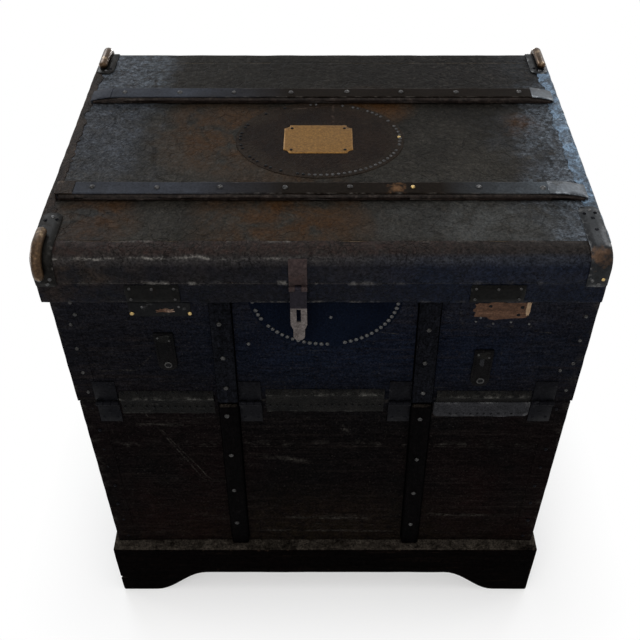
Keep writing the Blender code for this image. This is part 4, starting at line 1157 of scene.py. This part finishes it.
# loose flap below the right strip, with round lower corners and a wavy edge
flapLook = {
    "x": (0.177, 0.334), "z": (0.519, 0.5528), "middle": 0.001, "thick": 0.0022, "cornerRound": 0.0085,
    "edge": 0.0005, "step": 0.009, "wavy": 0.012, "drop": 0.0016, "lift": 0.0012, "tacks": 0.5262,
    "tackX": (0.205, 0.318), "tackOut": 0.0024, "tackCount": 11, "tackStray": 0.0008}
flap, tacks = bmesh.new(), bmesh.new()
(xLow, xHigh), (zLow, zHigh) = flapLook["x"], flapLook["z"]
bmesh.ops.create_cube(flap, size=1, matrix=Matrix.Translation(
    frontSpot((xLow + xHigh) / 2, (zLow + zHigh) / 2, flapLook["middle"]))
    @ Matrix.Diagonal((xHigh - xLow, flapLook["thick"], zHigh - zLow, 1)))
easeEdges(flap, flapLook["cornerRound"], 5, footEdges(flap, 0.001))
easeEdges(flap, flapLook["edge"], 1)
cutGrid(flap, flapLook["step"])
markRub(flap)
for v in flap.verts:
    lowEdge = max(0, 1 - (v.co.z - zLow) / flapLook["wavy"])
    v.co.z += flapLook["drop"] * lowEdge * noise.noise(Vector((v.co.x * 46, 2, 0)))
    if v.co.y < frontY:
        v.co.y -= flapLook["lift"] * lowEdge * (0.5 + noise.noise(Vector((v.co.x * 30, 7, 0))))
finishPiece("rightJointFlap", flap, [greyFlap], "trunk", "leather")
start, end = [frontSpot(x, flapLook["tacks"], flapLook["tackOut"]) for x in flapLook["tackX"]]
nailRow(tacks, start, end, flapLook["tackCount"], ahead, jointLook["tack"], flapLook["tackStray"])
finishPiece("rightFlapTacks", tacks, [hingeIron], "trunk", "iron")
print("trunk: joint strips done")

# leather chapes: a worn tab at the top, an eyelet below, a seam along each side
chapeLook = {
    "edge": 0.0011, "step": 0.009, "bend": 0.0007, "bendScale": 45, "tab": (0.0108, 0.0078),
    "tabDrop": 0.01, "nail": (0.0022, 0.0014), "nailHalf": 0.0085, "ring": 0.0052, "wire": 0.0012,
    "hole": (0.004, 0.004), "ringRise": 0.014, "seamInset": 0.0035, "seamStart": 0.02, "stitch": 0.0034,
    "stitchPitch": 0.0052, "stitchHalf": 0.0004, "stitches": 9, "scar": (0.0034, 0.0085), "scarDrop": 0.026}
chapeFinishes = [stripLeather, studIron, hingeIron, blackLeather, greyFlap]
for side in ("left", "right"):
    node = "strap_chape_" + side
    low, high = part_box(node)
    dressNode(node, [blackLeather], "leather", chapeLook)
    bm = bmesh.new()
    middleX, face = (low.x + high.x) / 2, low.y
    tab = Vector((middleX, face - 0.0002, high.z - chapeLook["tabDrop"]))
    addScrap(bm, tab, chapeLook["tab"], ahead, 0.0014, 0.35)
    for dx, drop in ((-chapeLook["nailHalf"], 0.008), (chapeLook["nailHalf"], 0.014)):
        addNail(bm, Vector((middleX + dx, face - 0.0008, high.z - drop)), ahead, chapeLook["nail"], 1)
    eyelet = Vector((middleX + 0.001, face - 0.0003, low.z + chapeLook["ringRise"]))
    addRing(bm, eyelet, ahead, chapeLook["ring"], chapeLook["wire"], 1)
    addScrap(bm, eyelet + behind * 0.0002, chapeLook["hole"], ahead, 0.0006, 0.05, 2, 14)
    for i in range(chapeLook["stitches"]):
        for seamX in (low.x + chapeLook["seamInset"], high.x - chapeLook["seamInset"]):
            z = low.z + chapeLook["seamStart"] + i * chapeLook["stitchPitch"]
            half = Vector((chapeLook["stitchHalf"], 0, 0))
            addSlab(bm, Vector((seamX, face - 0.0006, z)) - half,
                    Vector((seamX, face + 0.0004, z + chapeLook["stitch"])) + half, 0.0002, 3)
    if side == "right":
        scar = Vector((middleX - 0.001, face - 0.0001, high.z - chapeLook["scarDrop"]))
        addScrap(bm, scar, chapeLook["scar"], ahead, 0.0005, 0.5, 4)
    finishPiece("chapeTrim" + side.capitalize(), bm, chapeFinishes, "fall_front", "leather")

# lock remains: dented plates with nails on the lid's lip
lockLook = {
    "edge": 0.0006, "segments": 1, "step": 0.008, "bend": 0.0008, "bendScale": 85, "nail": (0.0025, 0.0014),
    "insetX": 0.007, "insetZ": 0.006, "middleDrop": 0.007}
lidLockNails = bmesh.new()
for side in ("left", "right"):
    node = "lid_lock_plate_" + side
    low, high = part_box(node)
    dressNode(node, [lockIron], "iron", lockLook)
    rows = (high.z - lockLook["insetZ"], low.z + lockLook["insetZ"])
    spots = [(x, z) for z in rows for x in (low.x + lockLook["insetX"], high.x - lockLook["insetX"])]
    for x, z in spots + [((low.x + high.x) / 2, high.z - lockLook["middleDrop"])]:
        addNail(lidLockNails, Vector((x, low.y, z)), ahead, lockLook["nail"])
finishPiece("lidLockNails", lidLockNails, [studIron], "lid", "iron")

# on the front, the scars of the lost lock boxes: x and z of each place
leftScarLook = {
    "low": (-0.288, 0.7446), "high": (-0.197, 0.772), "thick": 0.0012, "edge": 0.0005, "step": 0.02,
    "wood": (-0.235, 0.7565), "woodSize": (0.013, 0.0036), "nail": (0.0036, 0.0022),
    "pin": (0.0022, 0.0012), "nails": [(-0.2844, 0.7507), (-0.199, 0.7507)],
    "pins": [(-0.268, 0.764), (-0.214, 0.764)]}
rightScarLook = {
    "low": (0.199, 0.7219), "high": (0.309, 0.779), "thick": 0.0008, "edge": 0.0004, "step": 0.012,
    "wood": (0.259, 0.7565), "woodSize": (0.04, 0.0165), "rim": (0.298, 0.76), "rimSize": (0.0032, 0.014),
    "pin": (0.0021, 0.0014), "hole": (0.0028, 0.0026),
    "pins": [(0.23, 0.742), (0.276, 0.733), (0.224, 0.734), (0.304, 0.729), (0.25, 0.73)],
    "holes": [(0.242, 0.7655), (0.289, 0.763), (0.285, 0.748)]}


def addScarSheet(bm, look):
    addSlab(bm, frontSpot(*look["low"], look["thick"]), frontSpot(*look["high"], -0.0005), look["edge"])


leftScar = bmesh.new()
addScarSheet(leftScar, leftScarLook)
addScrap(leftScar, frontSpot(*leftScarLook["wood"], 0.0013), leftScarLook["woodSize"], ahead, 0.0008, 0.7, 1)
for kind, index in (("nail", 2), ("pin", 3)):
    for spot in leftScarLook[kind + "s"]:
        addNail(leftScar, frontSpot(*spot, leftScarLook["thick"]), ahead, leftScarLook[kind], index)
cutGrid(leftScar, leftScarLook["step"])
markRub(leftScar)
finishPiece("leftLockScar", leftScar, [hingeIron, bareTimber, nailBrass, nailIron], "fall_front", "iron")
rightScar = bmesh.new()
addScarSheet(rightScar, rightScarLook)
cutGrid(rightScar, rightScarLook["step"])
markRub(rightScar)
wood = frontSpot(*rightScarLook["wood"], 0.0009)
addScrap(rightScar, wood, rightScarLook["woodSize"], ahead, 0.001, 0.42, 1, 34)
addScrap(rightScar, frontSpot(*rightScarLook["rim"], 0.0011), rightScarLook["rimSize"], ahead, 0.001, 0.4, 2)
for spot in rightScarLook["pins"]:
    addNail(rightScar, frontSpot(*spot, 0.001), ahead, rightScarLook["pin"], 3)
for spot in rightScarLook["holes"]:
    addScrap(rightScar, frontSpot(*spot, 0.0013), rightScarLook["hole"], ahead, 0.0008, 0.3, 4, 10)
scarFinishes = [bodyCanvas, bareTimber, paleTimber, nailIron, hingeIron]
finishPiece("rightLockScar", rightScar, scarFinishes, "fall_front", "leather")

# oval leather patch under the lid's lip, ringed with small studs, some of them lost
frontOval = {
    "x": 0.0007, "halfWidth": 0.1071, "halfHeight": 0.0969, "margin": 0.007, "thick": 0.0009, "step": 0.016,
    "stud": (0.0036, 0.0027), "pitch": 0.009, "endAngle": 0.1, "gap": (0.004, 0.03), "lost": 0.07,
    "strayNail": (0.003, 0.002), "strayNails": [(0.0085, 0.743), (-0.1165, 0.687)]}
halfWide, halfTall = frontOval["halfWidth"], frontOval["halfHeight"]
bm = bmesh.new()
matrix = Matrix.Translation(frontSpot(frontOval["x"], rimZ, 0.0003)) @ Matrix.Rotation(math.pi / 2, 4, "X")
matrix = matrix @ Matrix.Diagonal((halfWide + frontOval["margin"], halfTall + frontOval["margin"],
                                   frontOval["thick"] * 2, 1))
bmesh.ops.create_cone(bm, cap_ends=True, segments=72, radius1=1, radius2=0.99, depth=1, matrix=matrix)
bmesh.ops.bisect_plane(bm, geom=bm.verts[:] + bm.edges[:] + bm.faces[:], plane_co=(0, 0, rimZ - 0.001),
                       plane_no=up, clear_outer=True)
bmesh.ops.holes_fill(bm, edges=[e for e in bm.edges if e.is_boundary])
cutGrid(bm, frontOval["step"])
markRub(bm)
finishPiece("frontOvalPatch", bm, [frontOvalLeather], "fall_front", "leather")
bm = bmesh.new()
startAngle, endAngle = math.pi + frontOval["endAngle"], math.tau - frontOval["endAngle"]
for angle in ovalAngles(halfWide, halfTall, frontOval["pitch"], startAngle, endAngle):
    x = frontOval["x"] + halfWide * math.cos(angle)
    inGap = frontOval["gap"][0] < x < frontOval["gap"][1]
    if not (inGap or chance.random() < frontOval["lost"]):
        addNail(bm, frontSpot(x, rimZ + halfTall * math.sin(angle), 0.0011), ahead, frontOval["stud"])
for spot in frontOval["strayNails"]:
    addNail(bm, frontSpot(*spot, 0.0008), ahead, frontOval["strayNail"])
finishPiece("frontOvalStuds", bm, [nailIron], "fall_front", "iron")
print("trunk: front trim done")

# lid boards: canvas top and ends, leather roll and lip in front
lidLook = {"edge": 0.0001, "step": 0.02, "inset": 0.006, "bend": 0.0008, "bendScale": 22}
rollBoardLook = {**lidLook, "step": 0.012, "bend": 0.0012, "bendScale": 34}
lipLook = {**rollBoardLook, "edge": 0.002}
for node, inward, finish, slot, look in (
        ("lid_top_board", -up, lidCanvas, "canvas", lidLook),
        ("lid_left_end", rightward, lidCanvas, "canvas", lidLook),
        ("lid_right_end", leftward, lidCanvas, "canvas", lidLook),
        ("lid_front_rail", behind, rollLeather, "leather", rollBoardLook),
        ("lid_front_lip", behind, rollLeather, "leather", lipLook),
        ("lid_back_rail", ahead, lidCanvas, "canvas", lidLook)):
    dressNode(node, [finish, paperLining], slot, look, linedTowards(inward))

# slats across the lid, their iron straps, nails and end caps
lidSlatLook = {"edge": 0.0042, "segments": 3, "step": 0.026, "inset": 0.005, "bend": 0.0007, "bendScale": 30}
strapLook = {
    "edge": 0.0006, "segments": 1, "step": 0.018, "inset": 0.003, "bend": 0.0006, "bendScale": 26,
    "endRun": 0.05, "endDrop": 0.55, "nail": (0.0046, 0.003), "brassNail": (0.0037, 0.003), "stray": 0.002,
    "front": [-0.3434, -0.2476, -0.1548, -0.059, 0.0367, 0.1295, 0.2268, 0.321],
    "back": [-0.3395, -0.2462, -0.1546, -0.0578, 0.0372, 0.1288, 0.2222, 0.3291],
    "frontIndex": [0, 0, 0, 0, 0, 1, 2, 2], "backIndex": [0] * 8}
strapNails = bmesh.new()


# three of the four ends are worn down towards the lid
def wearEnds(bm):
    for v in bm.verts:
        ends = [strapHigh.x - v.co.x] + ([v.co.x - strapLow.x] if v.co.y > middleY else [])
        near = max(0, 1 - min(ends) / strapLook["endRun"])
        if v.co.z > lidTop:
            v.co.z -= (v.co.z - lidTop) * strapLook["endDrop"] * near * near


for row in ("front", "back"):
    dressNode("lid_slat_" + row, [lidSlatWood], "slat_wood", lidSlatLook, shape=wearEnds)
    dressNode("lid_strap_" + row, [strapIron], "iron", strapLook, shape=wearEnds)
    low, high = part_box("lid_strap_" + row)
    for x, index in zip(strapLook[row], strapLook[row + "Index"]):
        y = (low.y + high.y) / 2 + chance.uniform(-strapLook["stray"], strapLook["stray"])
        size = strapLook["brassNail" if index == 1 else "nail"]
        addNail(strapNails, Vector((x, y, high.z)), up, size, index)
wearEnds(strapNails)
finishPiece("lidStrapNails", strapNails, [studIron, nailBrass, nailIron], "lid", "iron")

# each cap: its strap, the end it sits on, where it starts, and its finish
capLook = {
    "side": 0.0015, "past": 0.0012, "under": 0.001, "grip": 0.0008, "edge": 0.0005, "step": 0.012,
    "finishes": [brightCap, brownLeather, strapIron],
    "caps": [("front", 1, 0.328, 0), ("back", 1, 0.3494, 0), ("back", -1, -0.362, 2),
        ("front", -1, -0.37, 1)]}
endCaps = bmesh.new()
for row, sign, startX, index in capLook["caps"]:
    low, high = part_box("lid_strap_" + row)
    endX = high.x if sign > 0 else low.x
    lowY, highY = low.y - capLook["side"], high.y + capLook["side"]
    nearX, farX = sorted((startX, endX + sign * capLook["past"]))
    addSlab(endCaps, (nearX, lowY, high.z - capLook["under"]), (farX, highY, high.z + capLook["past"]),
            capLook["edge"], index)
    nearX, farX = sorted((endX - sign * capLook["grip"], endX + sign * capLook["past"]))
    addSlab(endCaps, (nearX, lowY, lidTop + 0.0004), (farX, highY, high.z + 0.0006), capLook["edge"], index)
cutGrid(endCaps, capLook["step"])
markRub(endCaps)
wearEnds(endCaps)
finishPiece("strapEndCaps", endCaps, capLook["finishes"], "lid", "iron")
print("trunk: lid boards and straps done")

# bindings along the lid's side edges: the right one wrinkled, its top painted with a pale blue reflection,
# the left one worn brown
lidBinding = {
    "left": 0.013, "right": 0.021, "drop": 0.05, "thick": 0.0009, "sink": 0.0008, "hold": 0.001,
    "endGap": 0.03, "edge": 0.0005, "step": 0.0065, "bend": 0.0008, "bendScale": 55, "fray": 0.0095,
    "innerRub": 0.8, "nail": (0.0032, 0.0022), "nailEnd": 0.06, "nailDrop": 0.036, "nails": 11,
    "stray": 0.002}
lowY, highY, thick = lidFront + lidBinding["endGap"], lidBack - lidBinding["endGap"], lidBinding["thick"]
for side, edgeX, sign, finish in (("left", lidLeft, -1, brownLeather), ("right", lidRight, 1, paintedSheenLeather)):
    bm = bmesh.new()
    across = lidBinding[side]
    outX, topZ = edgeX + sign * thick, lidTop + thick
    for innerX, footZ in ((edgeX - sign * across, lidTop - lidBinding["sink"]),
                          (edgeX - sign * lidBinding["hold"], lidTop - lidBinding["drop"])):
        lowX, highX = sorted((innerX, outX))
        addSlab(bm, (lowX, lowY, footZ), (highX, highY, topZ), lidBinding["edge"])
    cutGrid(bm, lidBinding["step"])
    layer = markRub(bm)
    for v in bm.verts:
        inner = max(0, min(1, sign * (edgeX - v.co.x) / across))
        fray = noise.noise(Vector((v.co.y * 34, sign * 4, 0)))
        fray += 0.6 * noise.noise(Vector((v.co.y * 120, sign * 9, 0)))
        v.co.x += sign * inner * lidBinding["fray"] * fray
        v[layer] *= 1 - lidBinding["innerRub"] * inner
    crumple(bm, lidBinding["bend"], lidBinding["bendScale"])
    bm.normal_update()
    # the top faces take the first finish, which on the right carries the painted reflection; the side faces
    # take plain leather
    for face in bm.faces:
        face.material_index = int(face.normal.z < 0.5 and face.calc_center_median().z < lidTop - 0.002)
    finishPiece(side + "LidBinding", bm, [finish, sideLeather], "lid", "leather")
    bm = bmesh.new()
    ends = (lidFront + lidBinding["nailEnd"], lidBack - lidBinding["nailEnd"])
    start, end = [(outX, y, lidTop - lidBinding["nailDrop"]) for y in ends]
    nailRow(bm, start, end, lidBinding["nails"], rightward * sign, lidBinding["nail"], lidBinding["stray"])
    finishPiece(side + "LidBindingNails", bm, [nailIron], "lid", "iron")

# corner guards: rounded upper ends, the holes and rust where the lost rib sat, and rivets
# (each by its place across, its distance from the end and its finish)
guardLook = {
    "endRound": 0.0105, "footRound": 0.0035, "edge": 0.0006, "step": 0.011, "bend": 0.0004, "bendScale": 60,
    "sheet": 0.003, "rivet": (0.003, 0.0017), "hole": (0.003, 0.003), "holes": [0.086, 0.059],
    "topRivets": [(-0.008, 0.018, 2), (0.008, 0.016, 2), (0.001, 0.0095, 0)],
    "faceRivets": [(-0.008, 0.012, 0), (0.007, 0.014, 1), (0.002, 0.005, 0)]}
rivets = bmesh.new()
for depth, inward, facing in (("front", 1, ahead), ("back", -1, behind)):
    for side, iron in (("left", dullShadedGuardIron), ("right", guardIron)):
        node = "corner_guard_" + depth + "_" + side
        low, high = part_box(node)
        tipY, outY = (high.y, low.y) if depth == "front" else (low.y, high.y)
        middleX = (low.x + high.x) / 2
        bm = copyNode(node)
        topEnds = [e for e in bm.edges if e.calc_length() < guardLook["sheet"]
                   and all(abs(v.co.y - tipY) < 1e-4 for v in e.verts)]
        easeEdges(bm, guardLook["endRound"], 5, topEnds)
        footEnds = [e for e in bm.edges if e.calc_length() < guardLook["sheet"]
                    and all(abs(v.co.z - low.z) < 1e-4 for v in e.verts)
                    and abs(e.verts[0].co.x - e.verts[1].co.x) < 1e-4]
        easeEdges(bm, guardLook["footRound"], 3, footEnds)
        easeEdges(bm, guardLook["edge"], 1)
        cutGrid(bm, guardLook["step"])
        markRub(bm)
        crumple(bm, guardLook["bend"], guardLook["bendScale"])
        finishPiece(pieceName(node), bm, [iron], "lid", "iron", (node,))
        for dx, reach, index in guardLook["topRivets"]:
            addNail(rivets, Vector((middleX + dx, tipY - inward * reach, high.z - 0.0002)), up,
                    guardLook["rivet"], index)
        for dx, lift, index in guardLook["faceRivets"]:
            addNail(rivets, Vector((middleX + dx, outY + inward * 0.0002, low.z + lift)), facing,
                    guardLook["rivet"], index if side == "right" else 0)
low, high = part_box("corner_guard_front_right")
for dy in guardLook["holes"]:
    addScrap(rivets, Vector(((low.x + high.x) / 2 + 0.002, low.y + dy, high.z)), guardLook["hole"], up,
             0.0005, 0.15, 2, 12)
finishPiece("guardRivets", rivets, [nailIron, nailBrass, blackIron], "lid", "iron")

# bronze ribs: a round bar bent over the lid's edge, its tips rounded in steps of a run and a taper
ribLook = {
    "halfWidth": 0.0078, "halfHeight": 0.006, "bendSteps": 8, "sides": 14, "front": 0.025, "back": 0.006,
    "endLength": 0.006, "tip": [(0.003, 0.88), (0.002, 0.72), (0.001, 0.45)]}


def growFace(bm, face, move, shrink=1):
    made = bmesh.ops.extrude_discrete_faces(bm, faces=[face])["faces"][0]
    bmesh.ops.translate(bm, vec=move, verts=made.verts)
    middle = made.calc_center_median()
    for v in made.verts:
        v.co = middle + (v.co - middle) * shrink
    return made


for label in ("front_left", "back_left", "back_right"):
    node = "bumper_" + label
    low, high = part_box(node)
    depth = label.split("_")[0]
    sign = 1 if depth == "front" else -1
    outerY, tipY = (low.y, high.y) if depth == "front" else (high.y, low.y)
    lineY = outerY + sign * ribLook["halfHeight"]
    lineZ = high.z - ribLook["halfHeight"]
    hubY = (lidFront if depth == "front" else lidBack) + sign * ribLook[depth]
    hubZ = lidTop - ribLook[depth]
    middleX = (low.x + high.x) / 2
    endLength = ribLook["endLength"]
    bm = bmesh.new()
    matrix = Matrix.Translation((middleX, lineY, low.z + endLength))
    matrix = matrix @ Matrix.Diagonal((ribLook["halfWidth"], ribLook["halfHeight"], 1, 1))
    bmesh.ops.create_circle(bm, cap_ends=True, segments=ribLook["sides"], radius=1, matrix=matrix)
    head = bmesh.ops.extrude_face_region(bm, geom=bm.faces[:])
    head = next(item for item in head["geom"] if isinstance(item, bmesh.types.BMFace))
    bmesh.ops.translate(bm, vec=(0, 0, hubZ - low.z - endLength), verts=head.verts)
    turn = Matrix.Rotation(-sign * math.pi / 2 / ribLook["bendSteps"], 4, "X")
    for step in range(ribLook["bendSteps"]):
        head = growFace(bm, head, Vector())
        bmesh.ops.rotate(bm, cent=(middleX, hubY, hubZ), matrix=turn, verts=head.verts)
    head = growFace(bm, head, Vector((0, tipY - sign * endLength - hubY, 0)))
    foot = min(bm.faces, key=lambda f: (f.calc_center_median().z, -len(f.verts)))
    for move, shrink in ribLook["tip"]:
        head = growFace(bm, head, Vector((0, sign * move, 0)), shrink)
        foot = growFace(bm, foot, Vector((0, 0, -move)), shrink)
    bmesh.ops.remove_doubles(bm, verts=bm.verts, dist=1e-6)
    bmesh.ops.recalc_face_normals(bm, faces=bm.faces)
    layer = bm.verts.layers.float.new("rub")
    for v in bm.verts:
        outward = max(v.co.z - lineZ, sign * (lineY - v.co.y)) / ribLook["halfHeight"]
        v[layer] = max(0, min(1, 1.6 * outward - 0.5))
    finishPiece(pieceName(node), bm, [ribBronze], "lid", "bronze", (node,), 60)
print("trunk: guards and ribs done")

# oval patch on the lid with its studs, more of them lost at the back and on the left
bm = bmesh.new()
matrix = Matrix.Translation((lidOval["x"], lidOval["y"], lidTop))
matrix = matrix @ Matrix.Diagonal((*ovalReach, lidOval["thick"] * 2, 1))
bmesh.ops.create_cone(bm, cap_ends=True, segments=80, radius1=1, radius2=0.988, depth=1, matrix=matrix)
cutGrid(bm, lidOval["step"])
markRub(bm)
crumple(bm, lidOval["bend"], lidOval["bendScale"])
finishPiece("lidOvalPatch", bm, [ovalLeather], "lid", "leather")
bm = bmesh.new()
halfWide, halfTall, topZ = lidOval["halfWidth"], lidOval["halfDepth"], lidTop + lidOval["thick"]
for angle in ovalAngles(halfWide, halfTall, lidOval["pitch"], 0, math.tau):
    across, along = math.cos(angle), math.sin(angle)
    lost = 0.55 if along > 0.2 else (0.25 if across < -0.2 else 0.05)
    if chance.random() > lost:
        place = Vector((lidOval["x"] + halfWide * across, lidOval["y"] + halfTall * along, topZ))
        addNail(bm, place, up, lidOval["stud"], 2 if across < -0.15 else 0)
addNail(bm, Vector((lidOval["x"] + halfWide - 0.001, lidOval["y"] + 0.002, topZ)), up, lidOval["endStud"], 1)
finishPiece("lidOvalStuds", bm, [studIron, nailBrass, hingeIron], "lid", "iron")

# bare brass plate with a nail in each corner
plateLook = {
    "edge": 0.0004, "segments": 1, "step": 0.014, "inset": 0.003, "bend": 0.0003, "bendScale": 40,
    "nail": (0.0026, 0.0014), "nailX": 0.0125, "nailY": 0.0095}
dressNode("nameplate", [plateBrass], "brass", plateLook)
low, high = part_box("nameplate")
bm = bmesh.new()
for x in (low.x + plateLook["nailX"], high.x - plateLook["nailX"]):
    for y in (low.y + plateLook["nailY"], high.y - plateLook["nailY"]):
        addNail(bm, Vector((x, y, high.z)), up, plateLook["nail"])
finishPiece("plateNails", bm, [hingeIron], "lid", "iron")

# hasp: rusty plate on the roll, tongue with a slot, bare metal at its end
haspLook = {
    "edge": 0.0005, "segments": 1, "step": 0.01, "bend": 0.0003, "bendScale": 80, "bareBelow": 0.778,
    "nail": (0.0022, 0.0012), "nailHalf": 0.007, "nailRise": 0.016, "nailOut": 0.003}
tongueLook = {**haspLook, "step": 0.008, "bendScale": 70}


def bareEnd(face):
    return int(face.calc_center_median().z < haspLook["bareBelow"])


dressNode("hasp_plate", [rustyIron], "rusty_iron", haspLook)
dressNode("hasp_tongue", [darkTongue, tongueIron], "iron", tongueLook, bareEnd)
low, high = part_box("hasp_plate")
bm = bmesh.new()
for dx in (-haspLook["nailHalf"], haspLook["nailHalf"]):
    place = Vector(((low.x + high.x) / 2 + dx, lidFront - haspLook["nailOut"], lipTop + haspLook["nailRise"]))
    addNail(bm, place, ahead, haspLook["nail"])
finishPiece("haspNails", bm, [rustyIron], "lid", "rusty_iron")

# back hinges with their screws
backHingeLook = {
    "edge": 0.0006, "segments": 1, "step": 0.018, "screw": (0.0034, 0.001), "fromEnd": 0.012, "face": 0.002,
    "shares": [0.15, 0.5, 0.85]}
bodyScrews, lidScrews = bmesh.new(), bmesh.new()
for side in ("left", "right"):
    for part, screws in (("body", bodyScrews), ("lid", lidScrews)):
        node = "lid_hinge_" + part + "_" + side
        dressNode(node, [hingeIron], "iron", backHingeLook)
        low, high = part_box(node)
        z = low.z + backHingeLook["fromEnd"] if part == "body" else high.z - backHingeLook["fromEnd"]
        for share in backHingeLook["shares"]:
            place = Vector((low.x + (high.x - low.x) * share, low.y + backHingeLook["face"], z))
            addNail(screws, place, behind, backHingeLook["screw"])
finishPiece("lidHingeBodyScrews", bodyScrews, [nailIron], "trunk", "iron")
finishPiece("lidHingeLidScrews", lidScrews, [nailIron], "lid", "iron")

# end handles: riveted plates, and bails that swing on them
handleLook = {
    "edge": 0.0007, "segments": 1, "step": 0.02, "rivet": (0.003, 0.0016), "out": 0.0033, "fromEdge": 0.008,
    "rows": [-0.063, -0.032, 0.032, 0.063]}
handleRivets = bmesh.new()
for side, sign in (("left", -1), ("right", 1)):
    dressNode("handle_plate_" + side, [hingeIron], "iron", handleLook)
    node = "handle_bail_" + side
    bail = copyNode(node)
    markRub(bail, 60)
    finishPiece(pieceName(node), bail, [guardIron], "handle_" + side, "iron", (node,), 60)
    low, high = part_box("handle_plate_" + side)
    for dy in handleLook["rows"]:
        for z in (low.z + handleLook["fromEdge"], high.z - handleLook["fromEdge"]):
            place = Vector((sign * (upperHalf + handleLook["out"]), (low.y + high.y) / 2 + dy, z))
            addNail(handleRivets, place, rightward * sign, handleLook["rivet"])
finishPiece("handleRivets", handleRivets, [nailIron], "trunk", "iron")
print("trunk: fittings done")


# 1 for the rays that see the background as it is: from the camera, off gloss and through glass
def directRay(tree):
    path = tree.nodes.new("ShaderNodeLightPath").outputs
    return mostOf([Field(tree, path["Is " + kind + " Ray"]) for kind in ("Camera", "Glossy", "Transmission")])


# pale floor, white away from the trunk and keeping its shadow close by
floorLook = {
    "reach": 60, "pale": (9000, 9000, 9000), "paler": (9150, 9150, 9150), "specular": 0.1, "roughness": 0.8,
    "glow": (10000, 10000, 10000), "clear": -0.16, "fade": 0.2}
bm = bmesh.new()
bmesh.ops.create_grid(bm, x_segments=2, y_segments=2, size=floorLook["reach"])
floorMesh = bpy.data.meshes.new("studioFloor")
bm.to_mesh(floorMesh)
bm.free()
studioFloor = bpy.data.objects.new("studioFloor", floorMesh)
scene.collection.objects.link(studioFloor)
paper = Finish("floorPaper", floorLook["specular"], floorLook["roughness"])
tree = paper.tree
tone = paper.place.cloud(1.5, 2).ramp(0.3, 0.7).mix(floorLook["pale"], floorLook["paler"])
feed(tree, tone, paper.shader.inputs["Base Color"])
beside = paper.place.vector("ABSOLUTE").vector("SUBTRACT", (cadHigh.x, backY, 0))
faraway = beside.vector("MAXIMUM").vector("LENGTH").ramp(floorLook["clear"], floorLook["fade"])
glow = addNode(tree, "Emission", {"Color": floorLook["glow"], "Strength": 1})
inputs = {0: directRay(tree) * faraway, 1: Field(tree, paper.shader.outputs[0]), 2: glow}
feed(tree, addNode(tree, "MixShader", inputs), tree.nodes["Material Output"].inputs["Surface"])
floorMesh.materials.append(paper.material)

# soft studio light: place, size, power and colour of each lamp
lightLook = {
    "ambient": 0.5, "aim": (0, 0, 0.5),
    "lamps": {"backLeft": ((-1.5, 2.2, 2.3), 1.3, 34, (0.9, 0.95, 1)),
              "backRight": ((1.7, 1.9, 2.2), 1, 20, (0.92, 0.96, 1)),
              "frontSoft": ((-0.9, -2.6, 2.7), 2.2, 34, (1, 0.98, 0.95)),
              "overhead": ((0.2, -0.2, 3.2), 2.4, 26, (1, 1, 1)),
              "leftSide": ((-2.6, 0.75, 0.3), 0.9, 30, (1, 0.98, 0.96)),
              "rightSide": ((2.6, 0.75, 0.3), 0.9, 30, (1, 0.98, 0.96)),
              "backSide": ((0.3, 2.9, 0.32), 0.9, 34, (1, 0.99, 0.97))},
}
for name, (place, size, power, colour) in lightLook["lamps"].items():
    data = bpy.data.lights.new(name, "AREA")
    data.shape = "DISK"
    data.size = size
    data.energy = power
    data.color = colour
    light = bpy.data.objects.new(name, data)
    light.location = place
    light.visible_camera = False
    light.rotation_euler = (Vector(lightLook["aim"]) - light.location).to_track_quat("-Z", "Y").to_euler()
    scene.collection.objects.link(light)
world = bpy.data.worlds.new("studioWorld")
world.use_nodes = True
background = world.node_tree.nodes["Background"]
background.inputs["Color"].default_value = (1, 1, 1, 1)
strength = directRay(world.node_tree).span(lightLook["ambient"], 1)
feed(world.node_tree, strength, background.inputs["Strength"])
scene.world = world
scene.view_settings.view_transform = "Standard"
